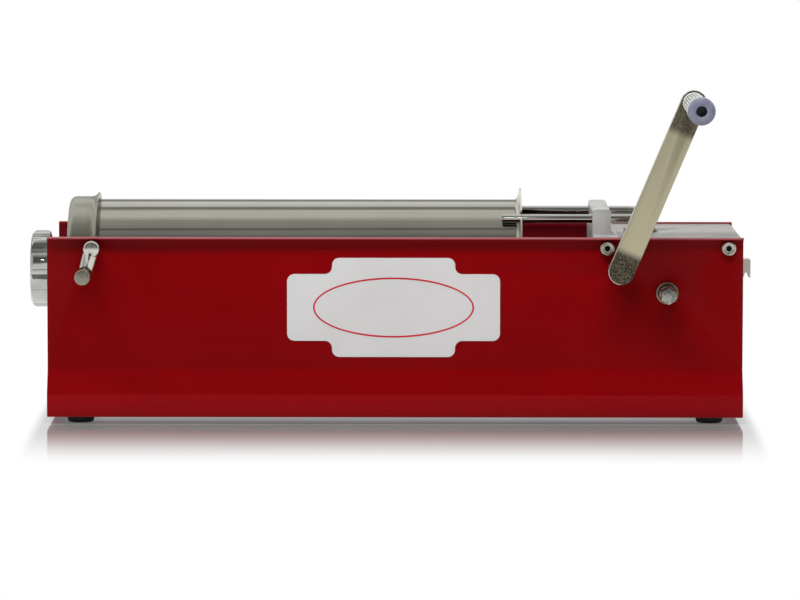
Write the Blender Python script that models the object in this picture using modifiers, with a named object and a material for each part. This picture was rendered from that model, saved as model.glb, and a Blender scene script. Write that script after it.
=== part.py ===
"""Lying sausage stuffer: a crank drives a piston through two gears and a toothed rack.

The pieces are set out from the tray: +X runs from the outlet to the gearbox, +Y away from the crank,
+Z up from the ground, with X and Y zero at the tray's middle. Everything hangs on one empty, which moves
that frame so that the world's origin is under the middle of the whole machine. Sizes are in metres.
"""

import math

import bmesh
import bpy
from mathutils import Euler, Vector

MM = 0.001

# Clearances
GAP = 0.3 * MM
SLIDE_GAP = 0.6 * MM

# How far a lump reaches into the piece that it is joined to
JOIN_OVERLAP = 0.1 * MM

# Round shapes: sides of large, middle and small ones
LARGE_SIDES = 32
MIDDLE_SIDES = 18
SMALL_SIDES = 12
FINE_SIDES = 8
FLAT_ANGLE = math.radians(0.1)
SMOOTH_ANGLE = math.radians(35)
EMPTY_SIZE = 30 * MM

# Tray
TRAY_LENGTH = 622 * MM
TRAY_SHEET = 2 * MM
SKIRT_OUT = 12 * MM
TRAY_BOTTOM = 6 * MM
SKIRT_TOP = 27 * MM
JOGGLE_TOP = 48 * MM
TRAY_TOP = 167 * MM
TRAY_FLANGE = 6 * MM
TRAY_BEND = 3 * MM
FLANGE_BEND = 0.8 * MM
PLATE_CHAMFER = 2.5 * MM

# Feet and their screws
FOOT_RADIUS = 12.5 * MM
FOOT_TOE_RADIUS = 11.5 * MM
FOOT_SETBACK = 29 * MM
FOOT_INSET = 22 * MM
FOOT_SCREW_RADIUS = 2.5 * MM
FOOT_RECESS_RADIUS = 6 * MM
FOOT_RECESS = 3.4 * MM

# Cylinder
BORE_RADIUS = 62.3 * MM
TUBE_WALL = 1.2 * MM
CYLINDER_DROP = 36 * MM
LOADING_GAP = 63 * MM
LIP_FLARE = 10.3 * MM
LIP_DEPTH = 6.5 * MM
LIP_CURVE = ((LIP_FLARE / 4, 2.9 * MM), (LIP_FLARE, 5.8 * MM))

# Front head
HEAD_SETBACK = 16 * MM
HEAD_DEPTH = 26.5 * MM
HEAD_WALL = 3 * MM
HEAD_SKIRT_WALL = 2 * MM
HEAD_SHOULDER = 6 * MM
RIM_FLARE = 3.7 * MM
RIM_DEPTH = 7 * MM
RIM_CURVE = (RIM_FLARE / 4, 3.5 * MM)
RIM_EDGE = 1 * MM
NECK_RADIUS = 27 * MM
NECK_LENGTH = 31 * MM
OUTLET_RADIUS = 19 * MM
GASKET_THICKNESS = 1.5 * MM
GASKET_WIDTH = 5 * MM

# Front pivot and its clamp lever
PIVOT_SETBACK = 40.5 * MM
PIVOT_DROP = 10 * MM
PIVOT_RADIUS = 5 * MM
PIVOT_GRIP = 9 * MM
EAR_RADIUS = 9.5 * MM
EAR_PAST_RIM = 5.5 * MM
EAR_CLEARANCE = 5 * MM
EAR_LENGTH = 23 * MM
PIVOT_BUSH_WALL = 1.7 * MM
PIVOT_BUSH_FLANGE = 9 * MM
LEVER_HUB_RADIUS = 7.4 * MM
LEVER_HUB_LENGTH = 17.5 * MM
LEVER_HUB_EDGE = 2 * MM
LEVER_ARM_RADIUS = 4.8 * MM
LEVER_ARM_ROOT = 5.2 * MM
LEVER_ARM_TIP = 4.9 * MM
LEVER_PAD_RADIUS = 6.3 * MM
LEVER_ARM_LENGTH = 23.5 * MM
LEVER_LEAN = math.radians(20)
FAR_SCREW_HEAD_RADIUS = 7.4 * MM
FAR_SCREW_HEAD = 5.5 * MM
KNOB_RADIUS = 7 * MM
KNOB_LENGTH = 32 * MM
KNOB_EDGE = 1.2 * MM

# Ring nut
NUT_PAST_NECK = 4 * MM
NUT_LENGTH = 17 * MM
NUT_RADIUS = 35 * MM
NUT_NOSE_RADIUS = 31 * MM
NUT_HOLE_RADIUS = 21.5 * MM
NUT_LOBES = 10
LOBE_DEPTH = 2.6 * MM
LOBE_STEPS = 5
NUT_CHAMFER = 3.2 * MM
NUT_REAR_TAPER = 0.97

# Piston
PISTON_REST_GAP = 4 * MM
PISTON_PAST_TUBE = 14 * MM
PISTON_THICKNESS = 24 * MM
PISTON_EDGE = 1 * MM
PISTON_GAP = 0.9 * MM
SEAL_GAP = 0.3 * MM
SEAL_WIDTH = 8 * MM
SEAL_DEPTH = 5 * MM
PISTON_RECESS_RADIUS = 13.5 * MM
PISTON_RECESS = 9 * MM
WASHER_RADIUS = 12 * MM
WASHER_THICKNESS = 2 * MM
PISTON_BOLT_RADIUS = 5 * MM
PISTON_BOLT_DEPTH = 22 * MM
BOLT_HEAD_RADIUS = 9 * MM
BOLT_HEAD_HEIGHT = 6 * MM

# Gears: two of module 2 for the fast shaft, and an eight-tooth pinion for the rack
MODULE = 2 * MM
PRESSURE_ANGLE = math.radians(20)
FLANK_PLAY = 0.1 * MM
PINION_TEETH = 12
GEAR_TEETH = 36
GEAR_SHIFT = 0.3
RACK_PINION_TEETH = 8
RACK_PINION_SHIFT = 0.55
RACK_PINION_TIP = 10.6 * MM
GEAR_NEAR = -40 * MM
GEAR_WIDTH = 12 * MM
GEAR_HUB_RADIUS = 14 * MM
GEAR_HUB_LENGTH = 3.2 * MM
GEAR_WINDOWS = 5
GEAR_WINDOW_RADIUS = 5.5 * MM
GEAR_WINDOW_PITCH = 22 * MM
PINION_HUB_RADIUS = 10.2 * MM
PINION_HUB_LENGTH = 11 * MM
PINION_PIN_RADIUS = 2 * MM
KEY_WIDTH = 4.4 * MM
KEY_HEIGHT = 4.4 * MM

# Shafts
DRIVE_SETBACK = 67.8 * MM
DRIVE_DROP = 13.7 * MM
SHAFT_LEAN = math.radians(27.43)
DRIVE_RADIUS = 7.5 * MM
CRANK_SHAFT_RADIUS = 8 * MM
CRANK_JOURNAL_RADIUS = 6 * MM
HEX_FLATS = 13 * MM
HEX_LENGTH = 20 * MM
DRIVE_REACH = 32 * MM
DRIVE_FAR_REACH = 5 * MM
BUSH_WALL = 1.2 * MM
BUSH_FLANGE_WIDTH = 1 * MM
BUSH_FLANGE = 2 * MM
CLIP_THICKNESS = 1.2 * MM
CLIP_WIDTH = 2.6 * MM
SHAFT_PAST_PLATE = 3 * MM

# Rack
RACK_WIDTH = 16 * MM
RACK_HEIGHT = 16 * MM
RACK_PAST_TRAY = 8 * MM
ROLLER_RADIUS = 8 * MM
ROLLER_HALF_LENGTH = 13 * MM
ROLLER_PIN_RADIUS = 4 * MM

# Bulkheads, bearing plates and the bar between them
GEARBOX_LENGTH = 134 * MM
BAR_DEPTH = 16.5 * MM
BLOCK_DEPTH = 22.5 * MM
BAR_RISE = 23 * MM
BAR_HALF_WIDTH = 55 * MM
BAR_EDGE = 2.5 * MM
COVE_RADIUS = 6 * MM
BLOCK_DROP = 17 * MM
WEB_THICKNESS = 7 * MM
WEB_BOTTOM = 85 * MM
RELIEF_GAP = 1.4 * MM
RELIEF_PAST_GEAR = 4 * MM
REAR_BLOCK_DEPTH = 19.5 * MM
REAR_BLOCK_GAP = 2 * MM
REAR_BLOCK_DROP = 20 * MM
REAR_WEB_THICKNESS = 6 * MM
PLATE_INNER = 16 * MM
PLATE_THICKNESS = 6 * MM
PLATE_BOTTOM = 93 * MM
TIE_SETBACK = 5.5 * MM
TIE_LENGTH = 36 * MM
TIE_HEIGHT = 6.7 * MM

# Screws
SIDE_SCREW_RADIUS = 4 * MM
SIDE_SCREW_HEAD = 6.5 * MM
SIDE_SCREW_HEAD_HEIGHT = 4.6 * MM
SIDE_SCREW_LENGTH = 18 * MM
SIDE_SCREW_DROP = 9.5 * MM
FRONT_SCREW_SETBACK = 10.1 * MM
REAR_SCREW_SETBACK = 9.7 * MM
SMALL_SCREW_RADIUS = 2 * MM
SMALL_SCREW_LENGTH = 15 * MM
PLATE_SCREW_MARGIN = 8 * MM
PLATE_SCREW_SPACING = 38 * MM
TIE_SCREW_SPACING = 11 * MM
COVER_SCREW_SPACING = 22 * MM
COVER_SCREW_RADIUS = 2.5 * MM
COVER_SCREW_HEAD = 4.6 * MM
COVER_SCREW_HEAD_HEIGHT = 2.4 * MM
COVER_SCREW_LENGTH = 7 * MM

# A screw head's flat top, and its socket, as shares of its head and its shank
SCREW_DOME = 0.75
SOCKET_SHARE = 0.7

# Cover
COVER_SHEET = 1.5 * MM
COVER_DROP = 1 * MM
COVER_BEND = 3 * MM
COVER_BOTTOM = 10 * MM

# Saddle and front cross plate
SADDLE_SETBACK = 24 * MM
SADDLE_SHEET = 3 * MM
SADDLE_DROP = 26 * MM
CROSS_PLATE_TOP = 66 * MM
CROSS_PLATE_SETBACK = 2 * MM

# Locking rods
ROD_RADIUS = 4 * MM
ROD_Y = 46 * MM
ROD_RISE = 50 * MM
ROD_REACH = 18 * MM
ROD_PAST_BAR = 34.5 * MM
ROD_BEND = 16 * MM
ROD_NOTCH_DEPTH = 12 * MM

# Crank
CRANK_LENGTH = 162.6 * MM
CRANK_LEAN = math.radians(22.8)
CRANK_REACH = 37 * MM
CRANK_THICKNESS = 5 * MM
CRANK_WIDTH = 23.5 * MM
CRANK_END_STEPS = 10
SOCKET_RADIUS = 11 * MM
SOCKET_LENGTH = 27 * MM
GRIP_LENGTH = 104 * MM
GRIP_NEAR_RADIUS = 10.5 * MM
GRIP_FAR_RADIUS = 12 * MM
GRIP_COLLAR_RADIUS = 11.6 * MM
GRIP_COLLAR = 4 * MM
CAP_LENGTH = 15 * MM
CAP_RADIUS = 12.3 * MM
CAP_HOLE_RADIUS = 4.5 * MM
CAP_CAVITY_RADIUS = 9.5 * MM
CAP_CAVITY = 7 * MM
CAP_ROUND = 2.5 * MM
GRIP_BOLT_RADIUS = 5 * MM
GRIP_BOLT_HEAD_RADIUS = 8.5 * MM
GRIP_BOLT_HEAD = 5 * MM
NUT_FLATS = 16 * MM
NUT_HEIGHT = 6 * MM
THREAD_PAST_NUT = 1 * MM

# Places worked out from the sizes above
TUBE_RADIUS = BORE_RADIUS + TUBE_WALL
LIP_RADIUS = TUBE_RADIUS + LIP_FLARE
HEAD_RADIUS = TUBE_RADIUS + GAP + HEAD_SKIRT_WALL
RIM_RADIUS = HEAD_RADIUS + RIM_FLARE
EAR_FACE = RIM_RADIUS + EAR_PAST_RIM
EAR_ROOT = EAR_FACE - EAR_LENGTH
PIVOT_INNER_END = EAR_FACE - PIVOT_GRIP
WALL_Y = EAR_FACE + EAR_CLEARANCE
WALL_INNER = WALL_Y - TRAY_SHEET
SKIRT_Y = WALL_Y + SKIRT_OUT
TRAY_HALF = TRAY_LENGTH / 2
FLOOR_Z = TRAY_BOTTOM + TRAY_SHEET
FOOT_X = TRAY_HALF - FOOT_SETBACK
FOOT_Y = SKIRT_Y - FOOT_INSET
CYLINDER_Z = TRAY_TOP - CYLINDER_DROP
BULKHEAD_FRONT = TRAY_HALF - GEARBOX_LENGTH
TUBE_REAR = BULKHEAD_FRONT - LOADING_GAP
SADDLE_FRONT = TUBE_REAR - SADDLE_SETBACK
SADDLE_TOP = CYLINDER_Z - SADDLE_DROP
HEAD_FRONT = -TRAY_HALF + HEAD_SETBACK
HEAD_REAR = HEAD_FRONT + HEAD_DEPTH
HEAD_INNER = HEAD_FRONT + HEAD_WALL
NECK_FRONT = HEAD_FRONT - NECK_LENGTH
NUT_FRONT = NECK_FRONT - NUT_PAST_NECK
NUT_REAR = NUT_FRONT + NUT_LENGTH
PIVOT_X = -TRAY_HALF + PIVOT_SETBACK
PIVOT_Z = TRAY_TOP - PIVOT_DROP
GASKET_FRONT = HEAD_INNER + GAP
TUBE_FRONT = GASKET_FRONT + GASKET_THICKNESS + GAP
NECK_CORE = NECK_RADIUS + GAP
PIVOT_BUSH_RADIUS = PIVOT_RADIUS + GAP + PIVOT_BUSH_WALL
PISTON_FRONT = HEAD_INNER + PISTON_REST_GAP
PISTON_TRAVEL = TUBE_REAR + PISTON_PAST_TUBE - PISTON_FRONT
PISTON_RADIUS = BORE_RADIUS - PISTON_GAP
SEAL_RADIUS = BORE_RADIUS - SEAL_GAP
PISTON_REAR = PISTON_FRONT + PISTON_THICKNESS
SEAL_FRONT = PISTON_FRONT + (PISTON_THICKNESS - SEAL_WIDTH) / 2
HEX_CORNER = HEX_FLATS / 2 / math.cos(math.pi / 6)
DRIVE_X = TRAY_HALF - DRIVE_SETBACK
DRIVE_Z = CYLINDER_Z - DRIVE_DROP
DRIVE_NEAR = -WALL_Y - DRIVE_REACH
DRIVE_FAR = WALL_Y + DRIVE_FAR_REACH
CRANK_SHAFT_DISTANCE = MODULE * (PINION_TEETH + GEAR_TEETH) / 2
CRANK_X = DRIVE_X - CRANK_SHAFT_DISTANCE * math.cos(SHAFT_LEAN)
CRANK_Z = DRIVE_Z + CRANK_SHAFT_DISTANCE * math.sin(SHAFT_LEAN)
GEAR_FAR = GEAR_NEAR + GEAR_WIDTH
RACK_LINE = DRIVE_Z + MODULE * (RACK_PINION_TEETH / 2 + RACK_PINION_SHIFT)
RACK_TIP = RACK_LINE - MODULE
RACK_TOP = RACK_TIP + RACK_HEIGHT
RACK_FRONT = PISTON_REAR + GAP
ROLLER_Z = RACK_TOP + GAP + ROLLER_RADIUS
BAR_REAR = BULKHEAD_FRONT + BAR_DEPTH
BAR_TOP = TRAY_TOP + BAR_RISE
BLOCK_REAR = BULKHEAD_FRONT + BLOCK_DEPTH
BLOCK_BOTTOM = TRAY_TOP - BLOCK_DROP
WEB_REAR = BULKHEAD_FRONT + WEB_THICKNESS
REAR_BULKHEAD_REAR = TRAY_HALF - COVER_SHEET - REAR_BLOCK_GAP
REAR_BULKHEAD_FRONT = REAR_BULKHEAD_REAR - REAR_BLOCK_DEPTH
REAR_BLOCK_BOTTOM = TRAY_TOP - REAR_BLOCK_DROP
REAR_WEB_REAR = REAR_BULKHEAD_FRONT + REAR_WEB_THICKNESS
SIDE_SCREW_Z = TRAY_TOP - SIDE_SCREW_DROP
FRONT_SCREW_X = BLOCK_REAR - FRONT_SCREW_SETBACK
REAR_SCREW_X = REAR_BULKHEAD_REAR - REAR_SCREW_SETBACK
ROD_Z = CYLINDER_Z + ROD_RISE
ROD_FRONT = TUBE_REAR - ROD_REACH
ROD_REAR = BAR_REAR + ROD_PAST_BAR
PLATE_OUTER = PLATE_INNER + PLATE_THICKNESS
PLATE_FRONT = WEB_REAR + GAP
PLATE_REAR = REAR_BULKHEAD_FRONT - GAP
PLATE_SCREW_LOW = PLATE_BOTTOM + PLATE_SCREW_MARGIN
PLATE_SCREW_Z = (PLATE_SCREW_LOW, PLATE_SCREW_LOW + PLATE_SCREW_SPACING)
COVER_TOP = TRAY_TOP - COVER_DROP
COVER_UNDER = COVER_TOP - COVER_SHEET
COVER_HALF_WIDTH = WALL_INNER - 2 * GAP
PLATE_TOP = COVER_UNDER - GAP
TIE_FRONT = BLOCK_REAR + TIE_SETBACK
TIE_REAR = TIE_FRONT + TIE_LENGTH
TIE_BOTTOM = PLATE_TOP - TIE_HEIGHT
TIE_MIDDLE = (TIE_FRONT + TIE_REAR) / 2
TIE_SCREW_X = (TIE_MIDDLE - TIE_SCREW_SPACING / 2, TIE_MIDDLE + TIE_SCREW_SPACING / 2)
COVER_SCREW_X = (TIE_MIDDLE - COVER_SCREW_SPACING / 2, TIE_MIDDLE + COVER_SCREW_SPACING / 2)
CRANK_FRONT = -WALL_Y - CRANK_REACH
CRANK_BACK = CRANK_FRONT + CRANK_THICKNESS
GRIP_X = CRANK_X + CRANK_LENGTH * math.sin(CRANK_LEAN)
GRIP_Z = CRANK_Z + CRANK_LENGTH * math.cos(CRANK_LEAN)
GRIP_BACK = CRANK_FRONT - GAP
GRIP_FRONT = GRIP_BACK - GRIP_LENGTH
CAP_BACK = GRIP_FRONT - GAP
CAP_FRONT = CAP_BACK - CAP_LENGTH
CRANK_SHAFT_NEAR = CRANK_BACK + 2 * GAP
CRANK_SHAFT_SHOULDER = -PLATE_OUTER - BUSH_FLANGE - 2 * GAP
RACK_PITCH = math.pi * MODULE
RACK_TEETH_BEHIND = int((TRAY_HALF + RACK_PAST_TRAY - DRIVE_X) / RACK_PITCH)
RACK_TEETH_AHEAD = math.ceil(PISTON_TRAVEL / RACK_PITCH) + 1
RACK_END = DRIVE_X + (RACK_TEETH_BEHIND + 0.5) * RACK_PITCH + RACK_PITCH / 8

# The machine's own origin: under the middle of its box
MIDDLE_X = (NUT_FRONT + RACK_END) / 2
MIDDLE_Y = (CAP_FRONT + SKIRT_Y) / 2

# Turns a shape made along local Z onto another axis, or an outline drawn in local XY into another plane
TURN = {"X": (0, math.pi / 2, 0), "Y": (-math.pi / 2, 0, 0), "Z": (0, 0, 0)}
FACE = {"X": (math.pi / 2, 0, math.pi / 2), "Y": (math.pi / 2, 0, 0), "Z": (0, 0, 0)}


def new_collection(name):
    """A collection in the scene, where the object's parts or cutters go."""
    made = bpy.data.collections.new(name)
    bpy.context.scene.collection.children.link(made)
    return made


for old in list(bpy.data.objects):
    bpy.data.objects.remove(old, do_unlink=True)
PARTS = new_collection("sausage_stuffer")
CUTTERS = new_collection("cutters")


def carrier(name, at, parent=None):
    """An empty on a joint's axis, which carries the pieces that move about it."""
    made = bpy.data.objects.new(name, None)
    made.empty_display_size = EMPTY_SIZE
    made.location = at
    PARTS.objects.link(made)
    if parent:
        made.parent = parent
        made.location = Vector(at) - centre_of(parent)
    return made


def centre_of(holder):
    """Where an empty lies in the tray's frame."""
    place = Vector((0, 0, 0))
    while holder is not None and holder is not MACHINE:
        place += holder.location
        holder = holder.parent
    return place


MACHINE = carrier("machine", (-MIDDLE_X, -MIDDLE_Y, 0))
CRANK_AXIS = carrier("crank_axis", (CRANK_X, CRANK_BACK, CRANK_Z), MACHINE)
GRIP_AXIS = carrier("grip_axis", (GRIP_X, CRANK_FRONT, GRIP_Z), CRANK_AXIS)
DRIVE_AXIS = carrier("drive_axis", (DRIVE_X, 0, DRIVE_Z), MACHINE)
ROLLER_AXIS = carrier("roller_axis", (DRIVE_X, 0, ROLLER_Z), MACHINE)
CARRIAGE = carrier("rack_carriage", (PISTON_FRONT, 0, CYLINDER_Z), MACHINE)
ROD_CARRIAGE = carrier("rod_carriage", (ROD_FRONT, 0, ROD_Z), MACHINE)
NUT_AXIS = carrier("ring_nut_axis", (NUT_FRONT, 0, CYLINDER_Z), MACHINE)
LEVER_AXIS = carrier("lever_axis", (PIVOT_X, -WALL_Y, PIVOT_Z), MACHINE)


def finish_material(name, colour, roughness, metallic):
    """A plain Principled material."""
    made = bpy.data.materials.new(name)
    made.use_nodes = True
    shader = made.node_tree.nodes["Principled BSDF"]
    shader.inputs["Base Color"].default_value = (*colour, 1)
    shader.inputs["Roughness"].default_value = roughness
    shader.inputs["Metallic"].default_value = metallic
    return made


RED_PAINT = finish_material("red_paint", (0.215, 0.002, 0.004), 0.25, 0)
STAINLESS = finish_material("stainless_steel", (0.42, 0.42, 0.39), 0.25, 1)
CAST_ALUMINIUM = finish_material("cast_aluminium", (0.55, 0.55, 0.55), 0.45, 1)
POLISHED_ALUMINIUM = finish_material("polished_aluminium", (0.7, 0.7, 0.71), 0.15, 1)
CHROME = finish_material("chrome", (0.6, 0.6, 0.58), 0.1, 1)
ZINC_STEEL = finish_material("zinc_steel", (0.45, 0.45, 0.44), 0.35, 1)
BRIGHT_BAR = finish_material("bright_bar", (0.38, 0.36, 0.27), 0.3, 1)
BRONZE = finish_material("bronze", (0.45, 0.28, 0.1), 0.35, 1)
BLACK_RUBBER = finish_material("black_rubber", (0.01, 0.01, 0.01), 0.7, 0)
WHITE_PLASTIC = finish_material("white_plastic", (0.8, 0.81, 0.78), 0.4, 0)
SEAL_RUBBER = finish_material("seal_rubber", (0.6, 0.58, 0.52), 0.6, 0)
CAP_PLASTIC = finish_material("cap_plastic", (0.2, 0.2, 0.3), 0.35, 0)


def add_object(name, mesh, finish=None, holder=None, at=(0, 0, 0), turn=(0, 0, 0)):
    """Put a mesh in the scene at a place in the tray's frame. With no finish it is a cutter."""
    made = bpy.data.objects.new(name, mesh)
    made.rotation_euler = turn
    holder = holder or MACHINE
    made.parent = holder
    made.location = Vector(at) - centre_of(holder)
    if finish is None:
        CUTTERS.objects.link(made)
        made.hide_render = True
        made.display_type = "WIRE"
        return made
    PARTS.objects.link(made)
    if finish.name not in mesh.materials:
        mesh.materials.append(finish)
    return made


def new_mesh(name, bm):
    """A mesh from a bmesh, which is freed."""
    mesh = bpy.data.meshes.new(name)
    bm.to_mesh(mesh)
    bm.free()
    return mesh


def smooth(thing):
    """Shade a round piece smooth between its sharp edges."""
    thing.data.shade_smooth()
    thing.data.set_sharp_from_angle(angle=SMOOTH_ANGLE)
    return thing


def baked(thing, flat=False):
    """A piece's mesh with its modifiers applied, welded, each flat side one face where asked."""
    bpy.context.view_layer.update()
    evaluated = thing.evaluated_get(bpy.context.evaluated_depsgraph_get())
    mesh = bpy.data.meshes.new_from_object(evaluated)
    bm = bmesh.new()
    bm.from_mesh(mesh)
    bmesh.ops.remove_doubles(bm, verts=bm.verts, dist=MM / 1000)
    bmesh.ops.recalc_face_normals(bm, faces=bm.faces)
    if flat:
        bmesh.ops.dissolve_limit(bm, angle_limit=FLAT_ANGLE, verts=bm.verts, edges=bm.edges)
    bm.to_mesh(mesh)
    bm.free()
    bpy.data.objects.remove(thing, do_unlink=True)
    return mesh


def point_at(axis, along, across):
    """A point from its place along an axis and its two other coordinates, in X, Y, Z order."""
    place = list(across)
    place.insert("XYZ".index(axis), along)
    return place


def ring_points(radius, sides, centre=(0, 0), start=0.0):
    """The corners of a regular outline."""
    steps = [start + 2 * math.pi * i / sides for i in range(sides)]
    return [(centre[0] + radius * math.cos(a), centre[1] + radius * math.sin(a)) for a in steps]


def arc_points(centre, radius, start, stop, steps):
    """Points along an arc, both ends among them."""
    angles = [start + (stop - start) * i / steps for i in range(steps + 1)]
    return [(centre[0] + radius * math.cos(a), centre[1] + radius * math.sin(a)) for a in angles]


def rounded(points, radii, steps=3, closed=False):
    """An outline with its corners rounded. `radii` gives each point's radius, 0 for a sharp one."""
    count = len(points)
    made = []
    for i, radius in enumerate(radii):
        here = Vector(points[i])
        end = not closed and i in (0, count - 1)
        if end or radius == 0:
            made.append(tuple(here))
            continue
        back = (Vector(points[i - 1]) - here).normalized()
        ahead = (Vector(points[(i + 1) % count]) - here).normalized()
        half = back.angle(ahead) / 2
        centre = here + (back + ahead).normalized() * radius / math.sin(half)
        first = here + back * radius / math.tan(half) - centre
        last = here + ahead * radius / math.tan(half) - centre
        for step in range(steps + 1):
            spoke = first.lerp(last, step / steps).normalized() * radius
            made.append(tuple(centre + spoke))
    return made


def solid_outline(points):
    """True where an outline of (radius, along) points runs down its outer side, top to bottom."""
    area = 0
    for i, (radius, along) in enumerate(points):
        before = points[i - 1]
        area += before[0] * along - radius * before[1]
    return area < 0


def turned(name, outline, axis, across, finish=None, holder=None, sides=MIDDLE_SIDES):
    """A turned piece: (radius, along) points about an axis, closed where no point lies on it."""
    points = outline if solid_outline(outline) else outline[::-1]
    bm = bmesh.new()
    verts = [bm.verts.new((radius, 0, along)) for radius, along in points]
    for first, second in zip(verts, verts[1:]):
        bm.edges.new((first, second))
    if min(radius for radius, along in points) > 0:
        bm.edges.new((verts[-1], verts[0]))
    at = point_at(axis, 0, across)
    made = add_object(name, new_mesh(name, bm), finish, holder, at, TURN[axis])
    spin = made.modifiers.new("turn", "SCREW")
    spin.steps = sides
    spin.render_steps = sides
    spin.use_merge_vertices = True
    spin.merge_threshold = MM / 1000
    spin.use_smooth_shade = True
    return made


def cylinder_outline(radius, low, high):
    """The outline of a plain cylinder, for turning."""
    return [(0, high), (radius, high), (radius, low), (0, low)]


def ring_outline(inner, outer, low, high):
    """The outline of a plain ring, for turning."""
    return [(inner, high), (outer, high), (outer, low), (inner, low)]


def add_cylinder(bm, axis, low, high, across, radius, sides):
    """Put a closed cylinder or prism in a bmesh."""
    made = bmesh.ops.create_cone(
        bm, cap_ends=True, segments=sides, radius1=radius, radius2=radius, depth=high - low
    )
    bmesh.ops.transform(bm, matrix=euler_matrix(TURN[axis]), verts=made["verts"])
    shift = Vector(point_at(axis, (low + high) / 2, across))
    bmesh.ops.translate(bm, vec=shift, verts=made["verts"])


def euler_matrix(angles):
    """A rotation as a matrix."""
    return Euler(angles).to_matrix().to_4x4()


def add_block(bm, x, y, z):
    """Put a closed box in a bmesh, from its low and high ends along each axis."""
    made = bmesh.ops.create_cube(bm, size=1)
    size = Vector((x[1] - x[0], y[1] - y[0], z[1] - z[0]))
    middle = Vector(((x[0] + x[1]) / 2, (y[0] + y[1]) / 2, (z[0] + z[1]) / 2))
    bmesh.ops.scale(bm, vec=size, verts=made["verts"])
    bmesh.ops.translate(bm, vec=middle, verts=made["verts"])


def plate(name, loops, axis, low, high, finish=None, holder=None):
    """A flat piece of a thickness along an axis: closed outlines, the first outside and the rest holes."""
    curve = bpy.data.curves.new(name, "CURVE")
    curve.dimensions = "2D"
    curve.fill_mode = "BOTH"
    curve.extrude = (high - low) / 2
    for loop in loops:
        spline = curve.splines.new("POLY")
        spline.points.add(len(loop) - 1)
        for point, place in zip(spline.points, loop):
            point.co = (place[0], place[1], 0, 1)
        spline.use_cyclic_u = True
    guide = bpy.data.objects.new(name + "_guide", curve)
    CUTTERS.objects.link(guide)
    mesh = baked(guide, flat=len(loops) == 1)
    at = point_at(axis, (low + high) / 2, (0, 0))
    return add_object(name, mesh, finish, holder, at, FACE[axis])


def cut(thing, cutter, operation="DIFFERENCE", solver="EXACT"):
    """Cut a piece with a cutter, or join a lump to it."""
    made = thing.modifiers.new(cutter.name, "BOOLEAN")
    made.operation = operation
    made.solver = solver
    made.object = cutter
    return thing


def drill(thing, holes, blocks=(), sides=SMALL_SIDES, solver="EXACT"):
    """Cut round holes (axis, low, high, across, radius) and boxes (x, y, z) out of a piece."""
    bm = bmesh.new()
    for axis, low, high, across, radius in holes:
        add_cylinder(bm, axis, low, high, across, radius, sides)
    for x, y, z in blocks:
        add_block(bm, x, y, z)
    cutter = add_object(thing.name + "_holes", new_mesh(thing.name + "_holes", bm))
    return cut(thing, cutter, solver=solver)


def copies(names, mesh, places, finish, holder=None):
    """Pieces that share one mesh, each at a place and turn in the tray's frame."""
    for name, (at, turn) in zip(names, places):
        smooth(add_object(name, mesh, finish, holder, at, turn))


def sided(stem, sides=("near", "far")):
    """Names for a pair or row of like pieces."""
    return [f"{stem}_{side}" for side in sides]


def screw_mesh(shank, length, head, head_height):
    """A socket-headed screw, its head above local Z zero and its shank below."""
    outline = [
        (0, head_height),
        (head * SCREW_DOME, head_height),
        (head, head_height * SCREW_DOME),
        (head, 0),
        (shank, 0),
        (shank, -length),
        (0, -length),
    ]
    made = turned("screw_blank", outline, "Z", (0, 0), ZINC_STEEL, sides=FINE_SIDES)
    bm = bmesh.new()
    add_cylinder(bm, "Z", head_height / 2, head_height * 2, (0, 0), shank * SOCKET_SHARE, 6)
    key = add_object("screw_socket", new_mesh("screw_socket", bm), at=(0, 0, 0))
    mesh = baked(cut(made, key))
    bpy.data.objects.remove(key, do_unlink=True)
    return mesh


def bush_mesh(bore, body, length, flange):
    """A flanged bush with its flange above local Z zero."""
    outline = [
        (bore, BUSH_FLANGE),
        (flange, BUSH_FLANGE),
        (flange, 0),
        (body, 0),
        (body, -length),
        (bore, -length),
    ]
    return baked(turned("bush_blank", outline, "Z", (0, 0), BRONZE, sides=SMALL_SIDES))


# How a screw or bush is turned when its head faces the near side, the far side, the rear or up
NEAR_SIDE = (math.pi / 2, 0, 0)
FAR_SIDE = (-math.pi / 2, 0, 0)
REARWARD = (0, math.pi / 2, 0)
UPWARD = (0, 0, 0)
SIDES = ((-1, NEAR_SIDE), (1, FAR_SIDE))


def involute(angle):
    """The involute function."""
    return math.tan(angle) - angle


def gear_outline(teeth, shift, tip, root, phase, centre, flank_steps=2):
    """A gear's outline, with a tooth's middle at `phase` about `centre`."""
    pitch = MODULE * teeth / 2
    base = pitch * math.cos(PRESSURE_ANGLE)
    half_tooth = MODULE * (math.pi / 4 + shift * math.tan(PRESSURE_ANGLE)) - FLANK_PLAY
    lowest = max(base, root)
    radii = [lowest + (tip - lowest) * (i / flank_steps) for i in range(flank_steps + 1)]
    flank = []
    for radius in radii:
        pressure = math.acos(min(1, base / radius))
        flank.append((radius, half_tooth / pitch + involute(PRESSURE_ANGLE) - involute(pressure)))
    if root < base:
        flank.insert(0, (root, flank[0][1]))
    points = []
    for tooth in range(teeth):
        middle = phase + 2 * math.pi * tooth / teeth
        for radius, half in flank:
            points.append((radius, middle - half))
        for radius, half in reversed(flank):
            points.append((radius, middle + half))
    return [(centre[0] + r * math.cos(a), centre[1] + r * math.sin(a)) for r, a in points]


# Both gears on the drive shaft have a tooth straight up. The crank's pinion is turned to mesh with its gear.
UP = math.pi / 2
GEAR_TO_PINION = math.pi - SHAFT_LEAN
GEAR_PHASE = (GEAR_TO_PINION - UP) * GEAR_TEETH / (2 * math.pi)
PINION_PHASE = -SHAFT_LEAN - (0.5 - GEAR_PHASE) * 2 * math.pi / PINION_TEETH


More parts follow.
